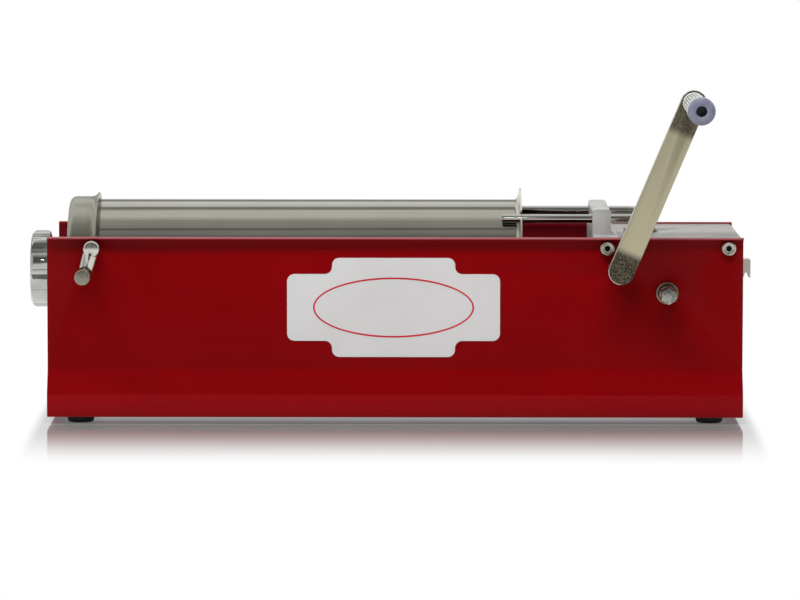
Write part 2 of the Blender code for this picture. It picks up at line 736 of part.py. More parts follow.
def inner_half(low, high):
    """Half of the tray's inside outline in (y, z), from `low` to `high`, clear of the sheet."""
    inset = TRAY_SHEET + GAP
    bend = math.atan2(SKIRT_Y - WALL_Y, JOGGLE_TOP - SKIRT_TOP)
    drop = inset * math.tan(bend / 2)
    return [
        (SKIRT_Y - inset - PLATE_CHAMFER, low),
        (SKIRT_Y - inset, low + PLATE_CHAMFER),
        (SKIRT_Y - inset, SKIRT_TOP - drop),
        (WALL_Y - inset, JOGGLE_TOP - drop),
        (WALL_Y - inset, high),
    ]


def mirrored(half):
    """A closed outline from its right half, bottom to top."""
    return half + [(-y, z) for y, z in reversed(half)]


def make_tray():
    """The red sheet tray: floor, skirts, joggles, walls and small top flanges, with its holes."""
    points = [
        (0, TRAY_BOTTOM),
        (SKIRT_Y, TRAY_BOTTOM),
        (SKIRT_Y, SKIRT_TOP),
        (WALL_Y, JOGGLE_TOP),
        (WALL_Y, TRAY_TOP - TRAY_SHEET),
        (WALL_Y + TRAY_FLANGE, TRAY_TOP - TRAY_SHEET),
    ]
    half = rounded(points, (0, TRAY_BEND, TRAY_BEND, TRAY_BEND, FLANGE_BEND, 0), 2)
    bm = bmesh.new()
    verts = [bm.verts.new((-TRAY_HALF, y, z)) for y, z in half]
    edges = [bm.edges.new(pair) for pair in zip(verts, verts[1:])]
    spread = bmesh.ops.extrude_edge_only(bm, edges=edges)
    fresh = [item for item in spread["geom"] if isinstance(item, bmesh.types.BMVert)]
    bmesh.ops.translate(bm, vec=(TRAY_LENGTH, 0, 0), verts=fresh)
    bm.normal_update()
    floor = min(bm.faces, key=lambda face: face.calc_center_median().z)
    if floor.normal.z > 0:
        bmesh.ops.reverse_faces(bm, faces=bm.faces)
    tray = add_object("tray", new_mesh("tray", bm), RED_PAINT)
    mirror = tray.modifiers.new("far_side", "MIRROR")
    mirror.use_axis = (False, True, False)
    mirror.merge_threshold = MM / 1000
    wall = tray.modifiers.new("sheet", "SOLIDIFY")
    wall.thickness = TRAY_SHEET
    wall.offset = -1
    wall.use_even_offset = True
    reach = (WALL_INNER - 2 * TRAY_FLANGE, WALL_Y + 2 * TRAY_FLANGE)
    holes = []
    for low, high in ((-reach[1], -reach[0]), reach):
        holes.append(("Y", low, high, (PIVOT_X, PIVOT_Z), PIVOT_BUSH_RADIUS + GAP))
        holes.append(("Y", low, high, (DRIVE_X, DRIVE_Z), DRIVE_RADIUS + 2 * GAP + BUSH_WALL))
        for x in (FRONT_SCREW_X, REAR_SCREW_X):
            holes.append(("Y", low, high, (x, SIDE_SCREW_Z), SIDE_SCREW_RADIUS + GAP))
    bush = CRANK_SHAFT_RADIUS + 2 * GAP + BUSH_WALL
    holes.append(("Y", -reach[1], -reach[0], (CRANK_X, CRANK_Z), bush))
    for x, y in foot_places():
        holes.append(("Z", 0, FLOOR_Z + TRAY_SHEET, (x, y), FOOT_SCREW_RADIUS + GAP))
    return drill(tray, holes)


def foot_places():
    """The four feet's middles."""
    return [(x, y) for x in (-FOOT_X, FOOT_X) for y in (-FOOT_Y, FOOT_Y)]


def make_feet():
    """Four rubber feet, each with a hole and a recess for its screw."""
    top = TRAY_BOTTOM - GAP
    hole = FOOT_SCREW_RADIUS + GAP
    outline = [
        (hole, top),
        (FOOT_RADIUS, top),
        (FOOT_TOE_RADIUS, 0),
        (FOOT_RECESS_RADIUS, 0),
        (FOOT_RECESS_RADIUS, FOOT_RECESS),
        (hole, FOOT_RECESS),
    ]
    blank = turned("foot_blank", outline, "Z", (0, 0), BLACK_RUBBER, sides=SMALL_SIDES)
    mesh = baked(blank)
    names = [f"rubber_foot_{end}_{side}" for end in ("front", "rear") for side in ("near", "far")]
    copies(names, mesh, [((x, y, 0), UPWARD) for x, y in foot_places()], BLACK_RUBBER)


def make_cross_plate():
    """The low plate that closes the tray's front end, below the outlet."""
    front = -TRAY_HALF + CROSS_PLATE_SETBACK
    outline = mirrored(inner_half(FLOOR_Z + GAP, CROSS_PLATE_TOP))
    plate("front_cross_plate", [outline], "X", front, front + TRAY_SHEET, RED_PAINT)


def make_saddle():
    """The cross plate that the cylinder's rear end rests on."""
    radius = TUBE_RADIUS + GAP
    edge = math.acos((SADDLE_TOP - CYLINDER_Z) / radius)
    first = math.pi / 2 - edge
    arc = arc_points((0, CYLINDER_Z), radius, first, -math.pi - first, LARGE_SIDES // 2)
    half = inner_half(FLOOR_Z + GAP, SADDLE_TOP)
    outline = half + arc + [(-y, z) for y, z in reversed(half)]
    plate("cylinder_saddle", [outline], "X", SADDLE_FRONT, SADDLE_FRONT + SADDLE_SHEET, STAINLESS)


def make_cylinder():
    """The stainless tube with a flared rear lip, notched for the two rods."""
    flare = TUBE_REAR - LIP_DEPTH
    outer = [
        (TUBE_RADIUS, TUBE_FRONT),
        (TUBE_RADIUS, flare),
        *((TUBE_RADIUS + out, flare + along) for out, along in LIP_CURVE),
        (LIP_RADIUS, TUBE_REAR),
        (BORE_RADIUS + LIP_CURVE[0][0], TUBE_REAR),
        (BORE_RADIUS, flare + TUBE_WALL),
        (BORE_RADIUS, TUBE_FRONT),
    ]
    tube = turned("cylinder_tube", outer, "X", (0, CYLINDER_Z), STAINLESS, sides=LARGE_SIDES)
    rise = ROD_Z - CYLINDER_Z
    radius = ROD_RADIUS + GAP
    low = flare - TUBE_WALL
    high = TUBE_REAR + TUBE_WALL
    bm = bmesh.new()
    for side in (-1, 1):
        outward = Vector((side * ROD_Y, rise)).normalized()
        across = Vector((-outward.y, outward.x)) * radius
        start = Vector((side * ROD_Y, ROD_Z))
        turn = math.atan2(outward.y, outward.x)
        bowl = arc_points(start, radius, turn + math.pi / 2, turn + math.pi * 1.5, 8)
        far = start + outward * ROD_NOTCH_DEPTH
        outline = bowl + [tuple(far - across), tuple(far + across)]
        face = bm.faces.new([bm.verts.new((low, y, z)) for y, z in outline])
        solid = bmesh.ops.extrude_face_region(bm, geom=[face])
        fresh = [item for item in solid["geom"] if isinstance(item, bmesh.types.BMVert)]
        bmesh.ops.translate(bm, vec=(high - low, 0, 0), verts=fresh)
    bmesh.ops.recalc_face_normals(bm, faces=bm.faces)
    notch = add_object("rod_notches", new_mesh("rod_notches", bm))
    cut(tube, notch)


def make_head():
    """The front head: a cap with a rounded shoulder, a rim, the outlet neck and two pivot ears."""
    shoulder = arc_points(
        (HEAD_RADIUS - HEAD_SHOULDER, HEAD_FRONT + HEAD_SHOULDER), HEAD_SHOULDER, -math.pi / 2, 0, 3
    )
    skirt = TUBE_RADIUS + GAP
    outline = [
        (OUTLET_RADIUS, NECK_FRONT),
        (NECK_RADIUS, NECK_FRONT),
        (NECK_RADIUS, HEAD_FRONT),
        *shoulder,
        (HEAD_RADIUS, HEAD_REAR - RIM_DEPTH),
        (HEAD_RADIUS + RIM_CURVE[0], HEAD_REAR - RIM_CURVE[1]),
        (RIM_RADIUS, HEAD_REAR - RIM_EDGE),
        (RIM_RADIUS, HEAD_REAR),
        (skirt, HEAD_REAR),
        (skirt, HEAD_INNER),
        (OUTLET_RADIUS, HEAD_INNER),
    ]
    head = turned("front_head", outline, "X", (0, CYLINDER_Z), STAINLESS, sides=LARGE_SIDES)
    bm = bmesh.new()
    for low, high in ((-EAR_FACE, -EAR_ROOT), (EAR_ROOT, EAR_FACE)):
        add_cylinder(bm, "Y", low, high, (PIVOT_X, PIVOT_Z), EAR_RADIUS, SMALL_SIDES)
    cut(head, add_object("head_ears", new_mesh("head_ears", bm)), "UNION")
    bore = turned(
        "head_bore", cylinder_outline(skirt, HEAD_INNER, PIVOT_X + 2 * EAR_RADIUS), "X",
        (0, CYLINDER_Z), sides=LARGE_SIDES,
    )
    cut(head, bore)
    hole = PIVOT_RADIUS + GAP
    drill(head, [
        ("Y", -EAR_FACE - MM, -PIVOT_INNER_END + MM, (PIVOT_X, PIVOT_Z), hole),
        ("Y", PIVOT_INNER_END - MM, EAR_FACE + MM, (PIVOT_X, PIVOT_Z), hole),
    ])
    outer = BORE_RADIUS + TUBE_WALL
    gasket = ring_outline(outer - GASKET_WIDTH, outer, GASKET_FRONT, GASKET_FRONT + GASKET_THICKNESS)
    turned("head_gasket", gasket, "X", (0, CYLINDER_Z), SEAL_RUBBER, sides=LARGE_SIDES)


def make_ring_nut():
    """The scalloped nut that holds a filling funnel on the neck."""
    outline = []
    for i in range(NUT_LOBES * LOBE_STEPS):
        angle = 2 * math.pi * i / (NUT_LOBES * LOBE_STEPS)
        wave = abs(math.sin(angle * NUT_LOBES / 2))
        outline.append((NUT_RADIUS - LOBE_DEPTH * (1 - wave), angle))
    bm = bmesh.new()
    shrink = NUT_NOSE_RADIUS / NUT_RADIUS
    stations = (
        (NUT_REAR, NUT_REAR_TAPER),
        (NUT_REAR - NUT_CHAMFER / 3, 1),
        (NUT_FRONT + NUT_CHAMFER, 1),
        (NUT_FRONT, shrink),
    )
    rings = []
    for x, scale in stations:
        places = [(x, r * scale * math.cos(a), r * scale * math.sin(a)) for r, a in outline]
        rings.append([bm.verts.new(place) for place in places])
    count = len(outline)
    for low, high in zip(rings, rings[1:]):
        for i in range(count):
            bm.faces.new((low[i], low[(i + 1) % count], high[(i + 1) % count], high[i]))
    bm.faces.new(rings[0])
    bm.faces.new(rings[-1])
    bmesh.ops.recalc_face_normals(bm, faces=bm.faces)
    mesh = new_mesh("ring_nut", bm)
    nut = add_object("ring_nut", mesh, POLISHED_ALUMINIUM, NUT_AXIS, (0, 0, CYLINDER_Z))
    lip = NECK_FRONT - GAP
    core = turned(
        "nut_core",
        [
            (0, NUT_REAR + MM),
            (NECK_CORE, NUT_REAR + MM),
            (NECK_CORE, lip),
            (NUT_HOLE_RADIUS, lip),
            (NUT_HOLE_RADIUS, NUT_FRONT - MM),
            (0, NUT_FRONT - MM),
        ],
        "X", (0, CYLINDER_Z), holder=NUT_AXIS, sides=LARGE_SIDES,
    )
    smooth(nut)
    cut(nut, core)


def make_pivots():
    """The clamp lever at the near pivot, its knob, the far pivot screw and both bushes."""
    bush = turned(
        "pivot_bush_blank",
        [
            (PIVOT_RADIUS + GAP, 0),
            (PIVOT_BUSH_RADIUS, 0),
            (PIVOT_BUSH_RADIUS, -TRAY_SHEET - GAP),
            (PIVOT_BUSH_FLANGE, -TRAY_SHEET - GAP),
            (PIVOT_BUSH_FLANGE, -2 * TRAY_SHEET),
            (PIVOT_RADIUS + GAP, -2 * TRAY_SHEET),
        ],
        "Z", (0, 0), BRONZE, sides=SMALL_SIDES,
    )
    places = [((PIVOT_X, -WALL_Y, PIVOT_Z), NEAR_SIDE), ((PIVOT_X, WALL_Y, PIVOT_Z), FAR_SIDE)]
    copies(sided("pivot_bush"), baked(bush), places, BRONZE)

    near = -WALL_Y - GAP
    hub_front = near - LEVER_HUB_LENGTH
    spindle = [
        (0, -PIVOT_INNER_END),
        (PIVOT_RADIUS, -PIVOT_INNER_END),
        (PIVOT_RADIUS, near),
        (LEVER_HUB_RADIUS, near),
        (LEVER_HUB_RADIUS, hub_front + LEVER_HUB_EDGE),
        (LEVER_HUB_RADIUS - LEVER_HUB_EDGE, hub_front),
        (0, hub_front),
    ]
    lever = turned("pivot_lever", spindle, "Y", (PIVOT_X, PIVOT_Z), CHROME, LEVER_AXIS)
    arm_y = hub_front + LEVER_ARM_RADIUS + MM
    down = Vector((-math.sin(LEVER_LEAN), 0, -math.cos(LEVER_LEAN)))
    foot = Vector((PIVOT_X, arm_y, PIVOT_Z)) + down * LEVER_ARM_LENGTH
    bm = bmesh.new()
    made = bmesh.ops.create_cone(
        bm, cap_ends=True, segments=SMALL_SIDES, radius1=LEVER_ARM_TIP,
        radius2=LEVER_ARM_ROOT, depth=LEVER_ARM_LENGTH,
    )
    bmesh.ops.translate(bm, vec=(0, 0, -LEVER_ARM_LENGTH / 2), verts=made["verts"])
    bmesh.ops.transform(bm, matrix=euler_matrix((0, LEVER_LEAN, 0)), verts=bm.verts)
    bmesh.ops.translate(bm, vec=(PIVOT_X, arm_y, PIVOT_Z), verts=bm.verts)
    arm = add_object("lever_arm", new_mesh("lever_arm", bm))
    cut(lever, arm, "UNION")
    bm = bmesh.new()
    pad_front = arm_y - LEVER_ARM_RADIUS - MM
    pad = (pad_front, arm_y + LEVER_ARM_RADIUS)
    add_cylinder(bm, "Y", *pad, (foot.x, foot.z), LEVER_PAD_RADIUS, SMALL_SIDES)
    cut(lever, add_object("lever_pad", new_mesh("lever_pad", bm)), "UNION")

    knob_back = pad_front - GAP
    knob_front = knob_back - KNOB_LENGTH
    outline = [
        (0, knob_back),
        (KNOB_RADIUS, knob_back),
        (KNOB_RADIUS, knob_front + KNOB_EDGE),
        (KNOB_RADIUS - KNOB_EDGE, knob_front),
        (0, knob_front),
    ]
    turned("lever_knob", outline, "Y", (foot.x, foot.z), CHROME, LEVER_AXIS)

    head = WALL_Y + GAP
    screw = [
        (0, head),
        (PIVOT_RADIUS, head),
        (PIVOT_RADIUS, PIVOT_INNER_END),
        (0, PIVOT_INNER_END),
    ]
    far = turned("far_pivot_screw", screw, "Y", (PIVOT_X, PIVOT_Z), ZINC_STEEL, sides=SMALL_SIDES)
    bm = bmesh.new()
    span = (head - JOIN_OVERLAP, head + FAR_SCREW_HEAD)
    add_cylinder(bm, "Y", *span, (PIVOT_X, PIVOT_Z), FAR_SCREW_HEAD_RADIUS, 6)
    cut(far, add_object("far_screw_head", new_mesh("far_screw_head", bm)), "UNION")


def make_piston():
    """The piston with its seal, washer and bolt."""
    groove = SEAL_RADIUS - SEAL_DEPTH
    seal_rear = SEAL_FRONT + SEAL_WIDTH
    bolt_hole = PISTON_BOLT_RADIUS + GAP
    outline = [
        (PISTON_RECESS_RADIUS, PISTON_FRONT),
        (PISTON_RADIUS - PISTON_EDGE, PISTON_FRONT),
        (PISTON_RADIUS, PISTON_FRONT + PISTON_EDGE),
        (PISTON_RADIUS, SEAL_FRONT),
        (groove, SEAL_FRONT),
        (groove, seal_rear),
        (PISTON_RADIUS, seal_rear),
        (PISTON_RADIUS, PISTON_REAR),
        (bolt_hole, PISTON_REAR),
        (bolt_hole, PISTON_FRONT + PISTON_RECESS),
        (PISTON_RECESS_RADIUS, PISTON_FRONT + PISTON_RECESS),
    ]
    place = (0, CYLINDER_Z)
    turned("piston", outline, "X", place, WHITE_PLASTIC, CARRIAGE, LARGE_SIDES)
    inner = groove + GAP
    seal = ring_outline(inner, SEAL_RADIUS, SEAL_FRONT + GAP, seal_rear - GAP)
    turned("piston_seal", seal, "X", place, SEAL_RUBBER, CARRIAGE, LARGE_SIDES)
    washer_rear = PISTON_FRONT + PISTON_RECESS - GAP
    washer_front = washer_rear - WASHER_THICKNESS
    washer = ring_outline(bolt_hole, WASHER_RADIUS, washer_front, washer_rear)
    turned("piston_washer", washer, "X", place, STAINLESS, CARRIAGE)
    head_rear = washer_front - GAP
    shank_end = RACK_FRONT + PISTON_BOLT_DEPTH - 2 * GAP
    shank = cylinder_outline(PISTON_BOLT_RADIUS, head_rear - JOIN_OVERLAP, shank_end)
    bolt = turned("piston_bolt", shank, "X", place, STAINLESS, CARRIAGE, SMALL_SIDES)
    bm = bmesh.new()
    add_cylinder(bm, "X", head_rear - BOLT_HEAD_HEIGHT, head_rear, place, BOLT_HEAD_RADIUS, 6)
    head = add_object("piston_bolt_head", new_mesh("piston_bolt_head", bm), holder=CARRIAGE)
    cut(bolt, head, "UNION")


def make_rack():
    """The toothed rack, plain in front, with teeth down where the drive pinion reaches."""
    pitch = RACK_PITCH
    slope = math.tan(PRESSURE_ANGLE)
    half_line = pitch / 4 - FLANK_PLAY
    root = RACK_LINE + 1.25 * MODULE
    half_tip = half_line - MODULE * slope
    half_root = half_line + 1.25 * MODULE * slope
    points = [(RACK_FRONT, RACK_TIP)]
    first = -RACK_TEETH_AHEAD
    points.append((DRIVE_X + (first - 0.5) * pitch + half_tip, RACK_TIP))
    points.append((DRIVE_X + (first - 0.5) * pitch + half_root, root))
    for tooth in range(first, RACK_TEETH_BEHIND):
        middle = DRIVE_X + (tooth + 0.5) * pitch
        points.append((middle - half_root, root))
        points.append((middle - half_tip, RACK_TIP))
        points.append((middle + half_tip, RACK_TIP))
        points.append((middle + half_root, root))
    points.append((DRIVE_X + (RACK_TEETH_BEHIND + 0.5) * pitch - half_root, root))
    points.append((DRIVE_X + (RACK_TEETH_BEHIND + 0.5) * pitch - half_tip, RACK_TIP))
    points.append((RACK_END, RACK_TIP))
    points.append((RACK_END, RACK_TOP))
    points.append((RACK_FRONT, RACK_TOP))
    rack = plate("rack", [points], "Y", -RACK_WIDTH / 2, RACK_WIDTH / 2, ZINC_STEEL, CARRIAGE)
    hole_end = RACK_FRONT + PISTON_BOLT_DEPTH
    hole = ("X", RACK_FRONT - MM, hole_end, (0, CYLINDER_Z), PISTON_BOLT_RADIUS + GAP)
    drill(rack, [hole], solver="MANIFOLD")


def make_drive_shaft():
    """The drive shaft with its hexagon end and rack pinion, the large gear, its key, and the clips."""
    across = (DRIVE_X, DRIVE_Z)
    root = MODULE * (RACK_PINION_TEETH / 2 - 1.25 + RACK_PINION_SHIFT)
    teeth = gear_outline(RACK_PINION_TEETH, RACK_PINION_SHIFT, RACK_PINION_TIP, root, UP, across)
    half = RACK_WIDTH / 2 + 2 * SLIDE_GAP
    shaft = plate("drive_shaft", [teeth], "Y", -half, half, ZINC_STEEL, DRIVE_AXIS)
    bm = bmesh.new()
    hex_end = DRIVE_NEAR + HEX_LENGTH
    add_cylinder(bm, "Y", DRIVE_NEAR, hex_end + JOIN_OVERLAP, across, HEX_CORNER, 6)
    hexagon = add_object("drive_hexagon", new_mesh("drive_hexagon", bm), holder=MACHINE)
    near = cylinder_outline(DRIVE_RADIUS, hex_end, -half + JOIN_OVERLAP)
    far = cylinder_outline(DRIVE_RADIUS, half - JOIN_OVERLAP, DRIVE_FAR)
    cut(shaft, turned("drive_near_shaft", near, "Y", across), "UNION")
    cut(shaft, turned("drive_far_shaft", far, "Y", across), "UNION")
    cut(shaft, hexagon, "UNION")
    key_low = DRIVE_Z + DRIVE_RADIUS - KEY_HEIGHT / 2
    slot_x = (DRIVE_X - KEY_WIDTH / 2 - GAP, DRIVE_X + KEY_WIDTH / 2 + GAP)
    slot_y = (GEAR_NEAR + MM, GEAR_FAR + GEAR_HUB_LENGTH - MM)
    slot_z = (key_low - GAP, DRIVE_Z + 2 * DRIVE_RADIUS)
    drill(shaft, [], [(slot_x, (slot_y[0] - GAP, slot_y[1] + GAP), slot_z)])
    bm = bmesh.new()
    key_x = (slot_x[0] + GAP, slot_x[1] - GAP)
    add_block(bm, key_x, slot_y, (key_low, key_low + KEY_HEIGHT))
    add_object("gear_key", new_mesh("gear_key", bm), ZINC_STEEL, DRIVE_AXIS)

    pitch = MODULE * GEAR_TEETH / 2
    tip = pitch + MODULE * (1 - GEAR_SHIFT)
    root = pitch - MODULE * (1.25 + GEAR_SHIFT)
    teeth = gear_outline(GEAR_TEETH, -GEAR_SHIFT, tip, root, UP, across, flank_steps=1)
    gear = plate("large_gear", [teeth], "Y", GEAR_NEAR, GEAR_FAR, ZINC_STEEL, DRIVE_AXIS)
    bm = bmesh.new()
    hub = (GEAR_FAR - MM, GEAR_FAR + GEAR_HUB_LENGTH)
    add_cylinder(bm, "Y", *hub, across, GEAR_HUB_RADIUS, MIDDLE_SIDES)
    cut(gear, add_object("gear_hub", new_mesh("gear_hub", bm)), "UNION")
    low = GEAR_NEAR - MM
    high = GEAR_FAR + GEAR_HUB_LENGTH + MM
    drill(gear, [("Y", low, high, across, DRIVE_RADIUS + GAP)])
    bm = bmesh.new()
    for place in ring_points(GEAR_WINDOW_PITCH, GEAR_WINDOWS, across, UP + math.pi / GEAR_WINDOWS):
        add_cylinder(bm, "Y", low, high, place, GEAR_WINDOW_RADIUS, FINE_SIDES)
    add_block(bm, slot_x, (low, high), (DRIVE_Z + DRIVE_RADIUS / 2, key_low + KEY_HEIGHT + GAP))
    cut(gear, add_object("gear_windows", new_mesh("gear_windows", bm)))

    clip = turned(
        "clip_blank",
        ring_outline(DRIVE_RADIUS + GAP, DRIVE_RADIUS + CLIP_WIDTH, 0, CLIP_THICKNESS), "Z", (0, 0),
        ZINC_STEEL, sides=SMALL_SIDES,
    )
    places = [
        ((DRIVE_X, GEAR_NEAR - GAP, DRIVE_Z), NEAR_SIDE),
        ((DRIVE_X, WALL_Y + BUSH_FLANGE + 2 * GAP, DRIVE_Z), FAR_SIDE),
    ]
    copies(sided("drive_shaft_clip"), baked(clip), places, ZINC_STEEL, DRIVE_AXIS)


def make_crank_shaft():
    """The crank shaft with its hexagon end and journal, its pinion and the pinion's pin, and the clip."""
    across = (CRANK_X, CRANK_Z)
    hex_end = CRANK_SHAFT_NEAR + SOCKET_LENGTH
    inner_end = -PLATE_INNER + SHAFT_PAST_PLATE
    outline = [
        (0, inner_end),
        (CRANK_JOURNAL_RADIUS, inner_end),
        (CRANK_JOURNAL_RADIUS, CRANK_SHAFT_SHOULDER),
        (CRANK_SHAFT_RADIUS, CRANK_SHAFT_SHOULDER),
        (CRANK_SHAFT_RADIUS, hex_end),
        (0, hex_end),
    ]
    shaft = turned("crank_shaft", outline, "Y", across, ZINC_STEEL, CRANK_AXIS)
    bm = bmesh.new()
    add_cylinder(bm, "Y", CRANK_SHAFT_NEAR, hex_end + JOIN_OVERLAP, across, HEX_CORNER, 6)
    cut(shaft, add_object("crank_hexagon", new_mesh("crank_hexagon", bm)), "UNION")
    hub_near = GEAR_NEAR - PINION_HUB_LENGTH
    pin_y = GEAR_NEAR - PINION_HUB_LENGTH / 2
    reach = PINION_HUB_RADIUS
    ends = (CRANK_Z - 2 * reach, CRANK_Z + 2 * reach)
    pin_hole = ("Z", *ends, (CRANK_X, pin_y), PINION_PIN_RADIUS + GAP)
    drill(shaft, [pin_hole], sides=FINE_SIDES)

    pitch = MODULE * PINION_TEETH / 2
    tip = pitch + MODULE * (1 + GEAR_SHIFT)
    root = pitch - MODULE * (1.25 - GEAR_SHIFT)
    teeth = gear_outline(PINION_TEETH, GEAR_SHIFT, tip, root, PINION_PHASE, across)
    low = GEAR_NEAR - GAP
    pinion = plate("crank_pinion", [teeth], "Y", low, GEAR_FAR + GAP, ZINC_STEEL, CRANK_AXIS)
    bm = bmesh.new()
    add_cylinder(bm, "Y", hub_near, low + GAP / 2, across, PINION_HUB_RADIUS, MIDDLE_SIDES)
    cut(pinion, add_object("pinion_hub", new_mesh("pinion_hub", bm)), "UNION")
    bore = ("Y", hub_near - MM, GEAR_FAR + MM, across, CRANK_SHAFT_RADIUS + GAP)
    drill(pinion, [bore])
    bm = bmesh.new()
    add_cylinder(bm, *pin_hole, FINE_SIDES)
    cut(pinion, add_object("pinion_pin_hole", new_mesh("pinion_pin_hole", bm)))
    pin = cylinder_outline(PINION_PIN_RADIUS, CRANK_Z - reach + MM, CRANK_Z + reach - MM)
    turned("pinion_pin", pin, "Z", (CRANK_X, pin_y), ZINC_STEEL, CRANK_AXIS, FINE_SIDES)

    clip_near = -PLATE_INNER + 2 * GAP
    inner = CRANK_JOURNAL_RADIUS + GAP
    clip = ring_outline(inner, inner + CLIP_WIDTH, clip_near, clip_near + CLIP_THICKNESS)
    turned("crank_shaft_clip", clip, "Y", across, ZINC_STEEL, CRANK_AXIS, SMALL_SIDES)


def make_bushes():
    """Flanged bronze bushes: two for the crank shaft and four for the drive shaft."""
    body_length = PLATE_THICKNESS + GAP
    bore = DRIVE_RADIUS + GAP
    drive = bush_mesh(bore, bore + BUSH_WALL, body_length, bore + BUSH_WALL + BUSH_FLANGE_WIDTH)
    walls = [((DRIVE_X, side * (WALL_Y + GAP), DRIVE_Z), turn) for side, turn in SIDES]
    copies(sided("drive_shaft_wall_bush"), drive, walls, BRONZE)
    plates = [((DRIVE_X, side * (PLATE_OUTER + GAP), DRIVE_Z), turn) for side, turn in SIDES]
    copies(sided("drive_shaft_plate_bush"), drive, plates, BRONZE)
    bore = CRANK_SHAFT_RADIUS + GAP
    outer = bush_mesh(bore, bore + BUSH_WALL, body_length, bore + BUSH_WALL + BUSH_FLANGE_WIDTH)
    place = (CRANK_X, -WALL_Y - GAP, CRANK_Z)
    copies(["crank_shaft_wall_bush"], outer, [(place, NEAR_SIDE)], BRONZE)
    bore = CRANK_JOURNAL_RADIUS + GAP
    inner = bush_mesh(bore, bore + BUSH_WALL, body_length, bore + BUSH_WALL + BUSH_FLANGE_WIDTH)
    place = (CRANK_X, -PLATE_OUTER - GAP, CRANK_Z)
    copies(["crank_shaft_plate_bush"], inner, [(place, NEAR_SIDE)], BRONZE)


def make_bulkheads():
    """The two cast cross members: the front one guides rods and rack, the rear one the rack."""
    half_width = WALL_INNER - GAP
    cove_middle = (BAR_REAR + COVE_RADIUS, TRAY_TOP + COVE_RADIUS)
    cove = arc_points(cove_middle, COVE_RADIUS, math.pi * 1.5, math.pi, 4)
    points = [
        (BULKHEAD_FRONT, WEB_BOTTOM),
        (WEB_REAR, WEB_BOTTOM),
        (WEB_REAR, BLOCK_BOTTOM),
        (BLOCK_REAR, BLOCK_BOTTOM),
        *cove,
        (BAR_REAR, BAR_TOP),
        (BULKHEAD_FRONT, BAR_TOP),
    ]
    radii = [0, 0, 0, 0] + [0] * len(cove) + [BAR_EDGE, BAR_EDGE]
    outline = rounded(points, radii, 2, closed=True)
    front = plate("front_bulkhead", [outline], "Y", -half_width, half_width, CAST_ALUMINIUM)
    slot_y = (-RACK_WIDTH / 2 - SLIDE_GAP, RACK_WIDTH / 2 + SLIDE_GAP)
    slot_z = (RACK_TIP - SLIDE_GAP, RACK_TOP + SLIDE_GAP)
    ends = (BULKHEAD_FRONT - MM, BLOCK_REAR + MM)
    shoulder = TRAY_TOP + GAP
    blocks = [
        (ends, slot_y, slot_z),
        (ends, (-WALL_Y, -BAR_HALF_WIDTH), (shoulder, BAR_TOP + MM)),
        (ends, (BAR_HALF_WIDTH, WALL_Y), (shoulder, BAR_TOP + MM)),
    ]
    small = SMALL_SCREW_RADIUS + GAP
    plate_middle = (PLATE_INNER + PLATE_OUTER) / 2
    reach = SIDE_SCREW_LENGTH + TRAY_SHEET
    holes = []
    for side in (-1, 1):
        y = (WALL_Y, WALL_Y - reach) if side > 0 else (-WALL_Y + reach, -WALL_Y)
        holes.append(("X", *ends, (side * ROD_Y, ROD_Z), ROD_RADIUS + 2 * GAP + BUSH_WALL))
        holes.append(("Y", min(y), max(y), (FRONT_SCREW_X, SIDE_SCREW_Z), SIDE_SCREW_RADIUS + GAP))
        for z in PLATE_SCREW_Z:
            holes.append(("X", *ends, (side * plate_middle, z), small))
    drill(front, holes, blocks)
    relief_tip = MODULE * (PINION_TEETH / 2 + 1 + GEAR_SHIFT)
    bm = bmesh.new()
    ends = (GEAR_NEAR - PINION_HUB_LENGTH - MM, GEAR_FAR + RELIEF_PAST_GEAR)
    add_cylinder(bm, "Y", *ends, (CRANK_X, CRANK_Z), relief_tip + RELIEF_GAP, MIDDLE_SIDES)
    cut(front, add_object("pinion_relief", new_mesh("pinion_relief", bm)))

    outline = [
        (REAR_BULKHEAD_FRONT, WEB_BOTTOM),
        (REAR_WEB_REAR, WEB_BOTTOM),
        (REAR_WEB_REAR, REAR_BLOCK_BOTTOM),
        (REAR_BULKHEAD_REAR, REAR_BLOCK_BOTTOM),
        (REAR_BULKHEAD_REAR, PLATE_TOP),
        (REAR_BULKHEAD_FRONT, PLATE_TOP),
    ]
    rear = plate("rear_bulkhead", [outline], "Y", -half_width, half_width, CAST_ALUMINIUM)
    ends = (REAR_BULKHEAD_FRONT - MM, REAR_BULKHEAD_REAR + MM)
    holes = []
    for side in (-1, 1):
        y = (WALL_Y, WALL_Y - reach) if side > 0 else (-WALL_Y + reach, -WALL_Y)
        holes.append(("Y", min(y), max(y), (REAR_SCREW_X, SIDE_SCREW_Z), SIDE_SCREW_RADIUS + GAP))
        for z in PLATE_SCREW_Z:
            holes.append(("X", *ends, (side * plate_middle, z), small))
    drill(rear, holes, [(ends, slot_y, slot_z)])

    head = (SIDE_SCREW_HEAD, SIDE_SCREW_HEAD_HEIGHT)
    screw = screw_mesh(SIDE_SCREW_RADIUS, SIDE_SCREW_LENGTH, *head)
    for end, x in (("front", FRONT_SCREW_X), ("rear", REAR_SCREW_X)):
        places = [((x, side * (WALL_Y + GAP), SIDE_SCREW_Z), turn) for side, turn in SIDES]
        copies(sided(f"bulkhead_screw_{end}"), screw, places, ZINC_STEEL)


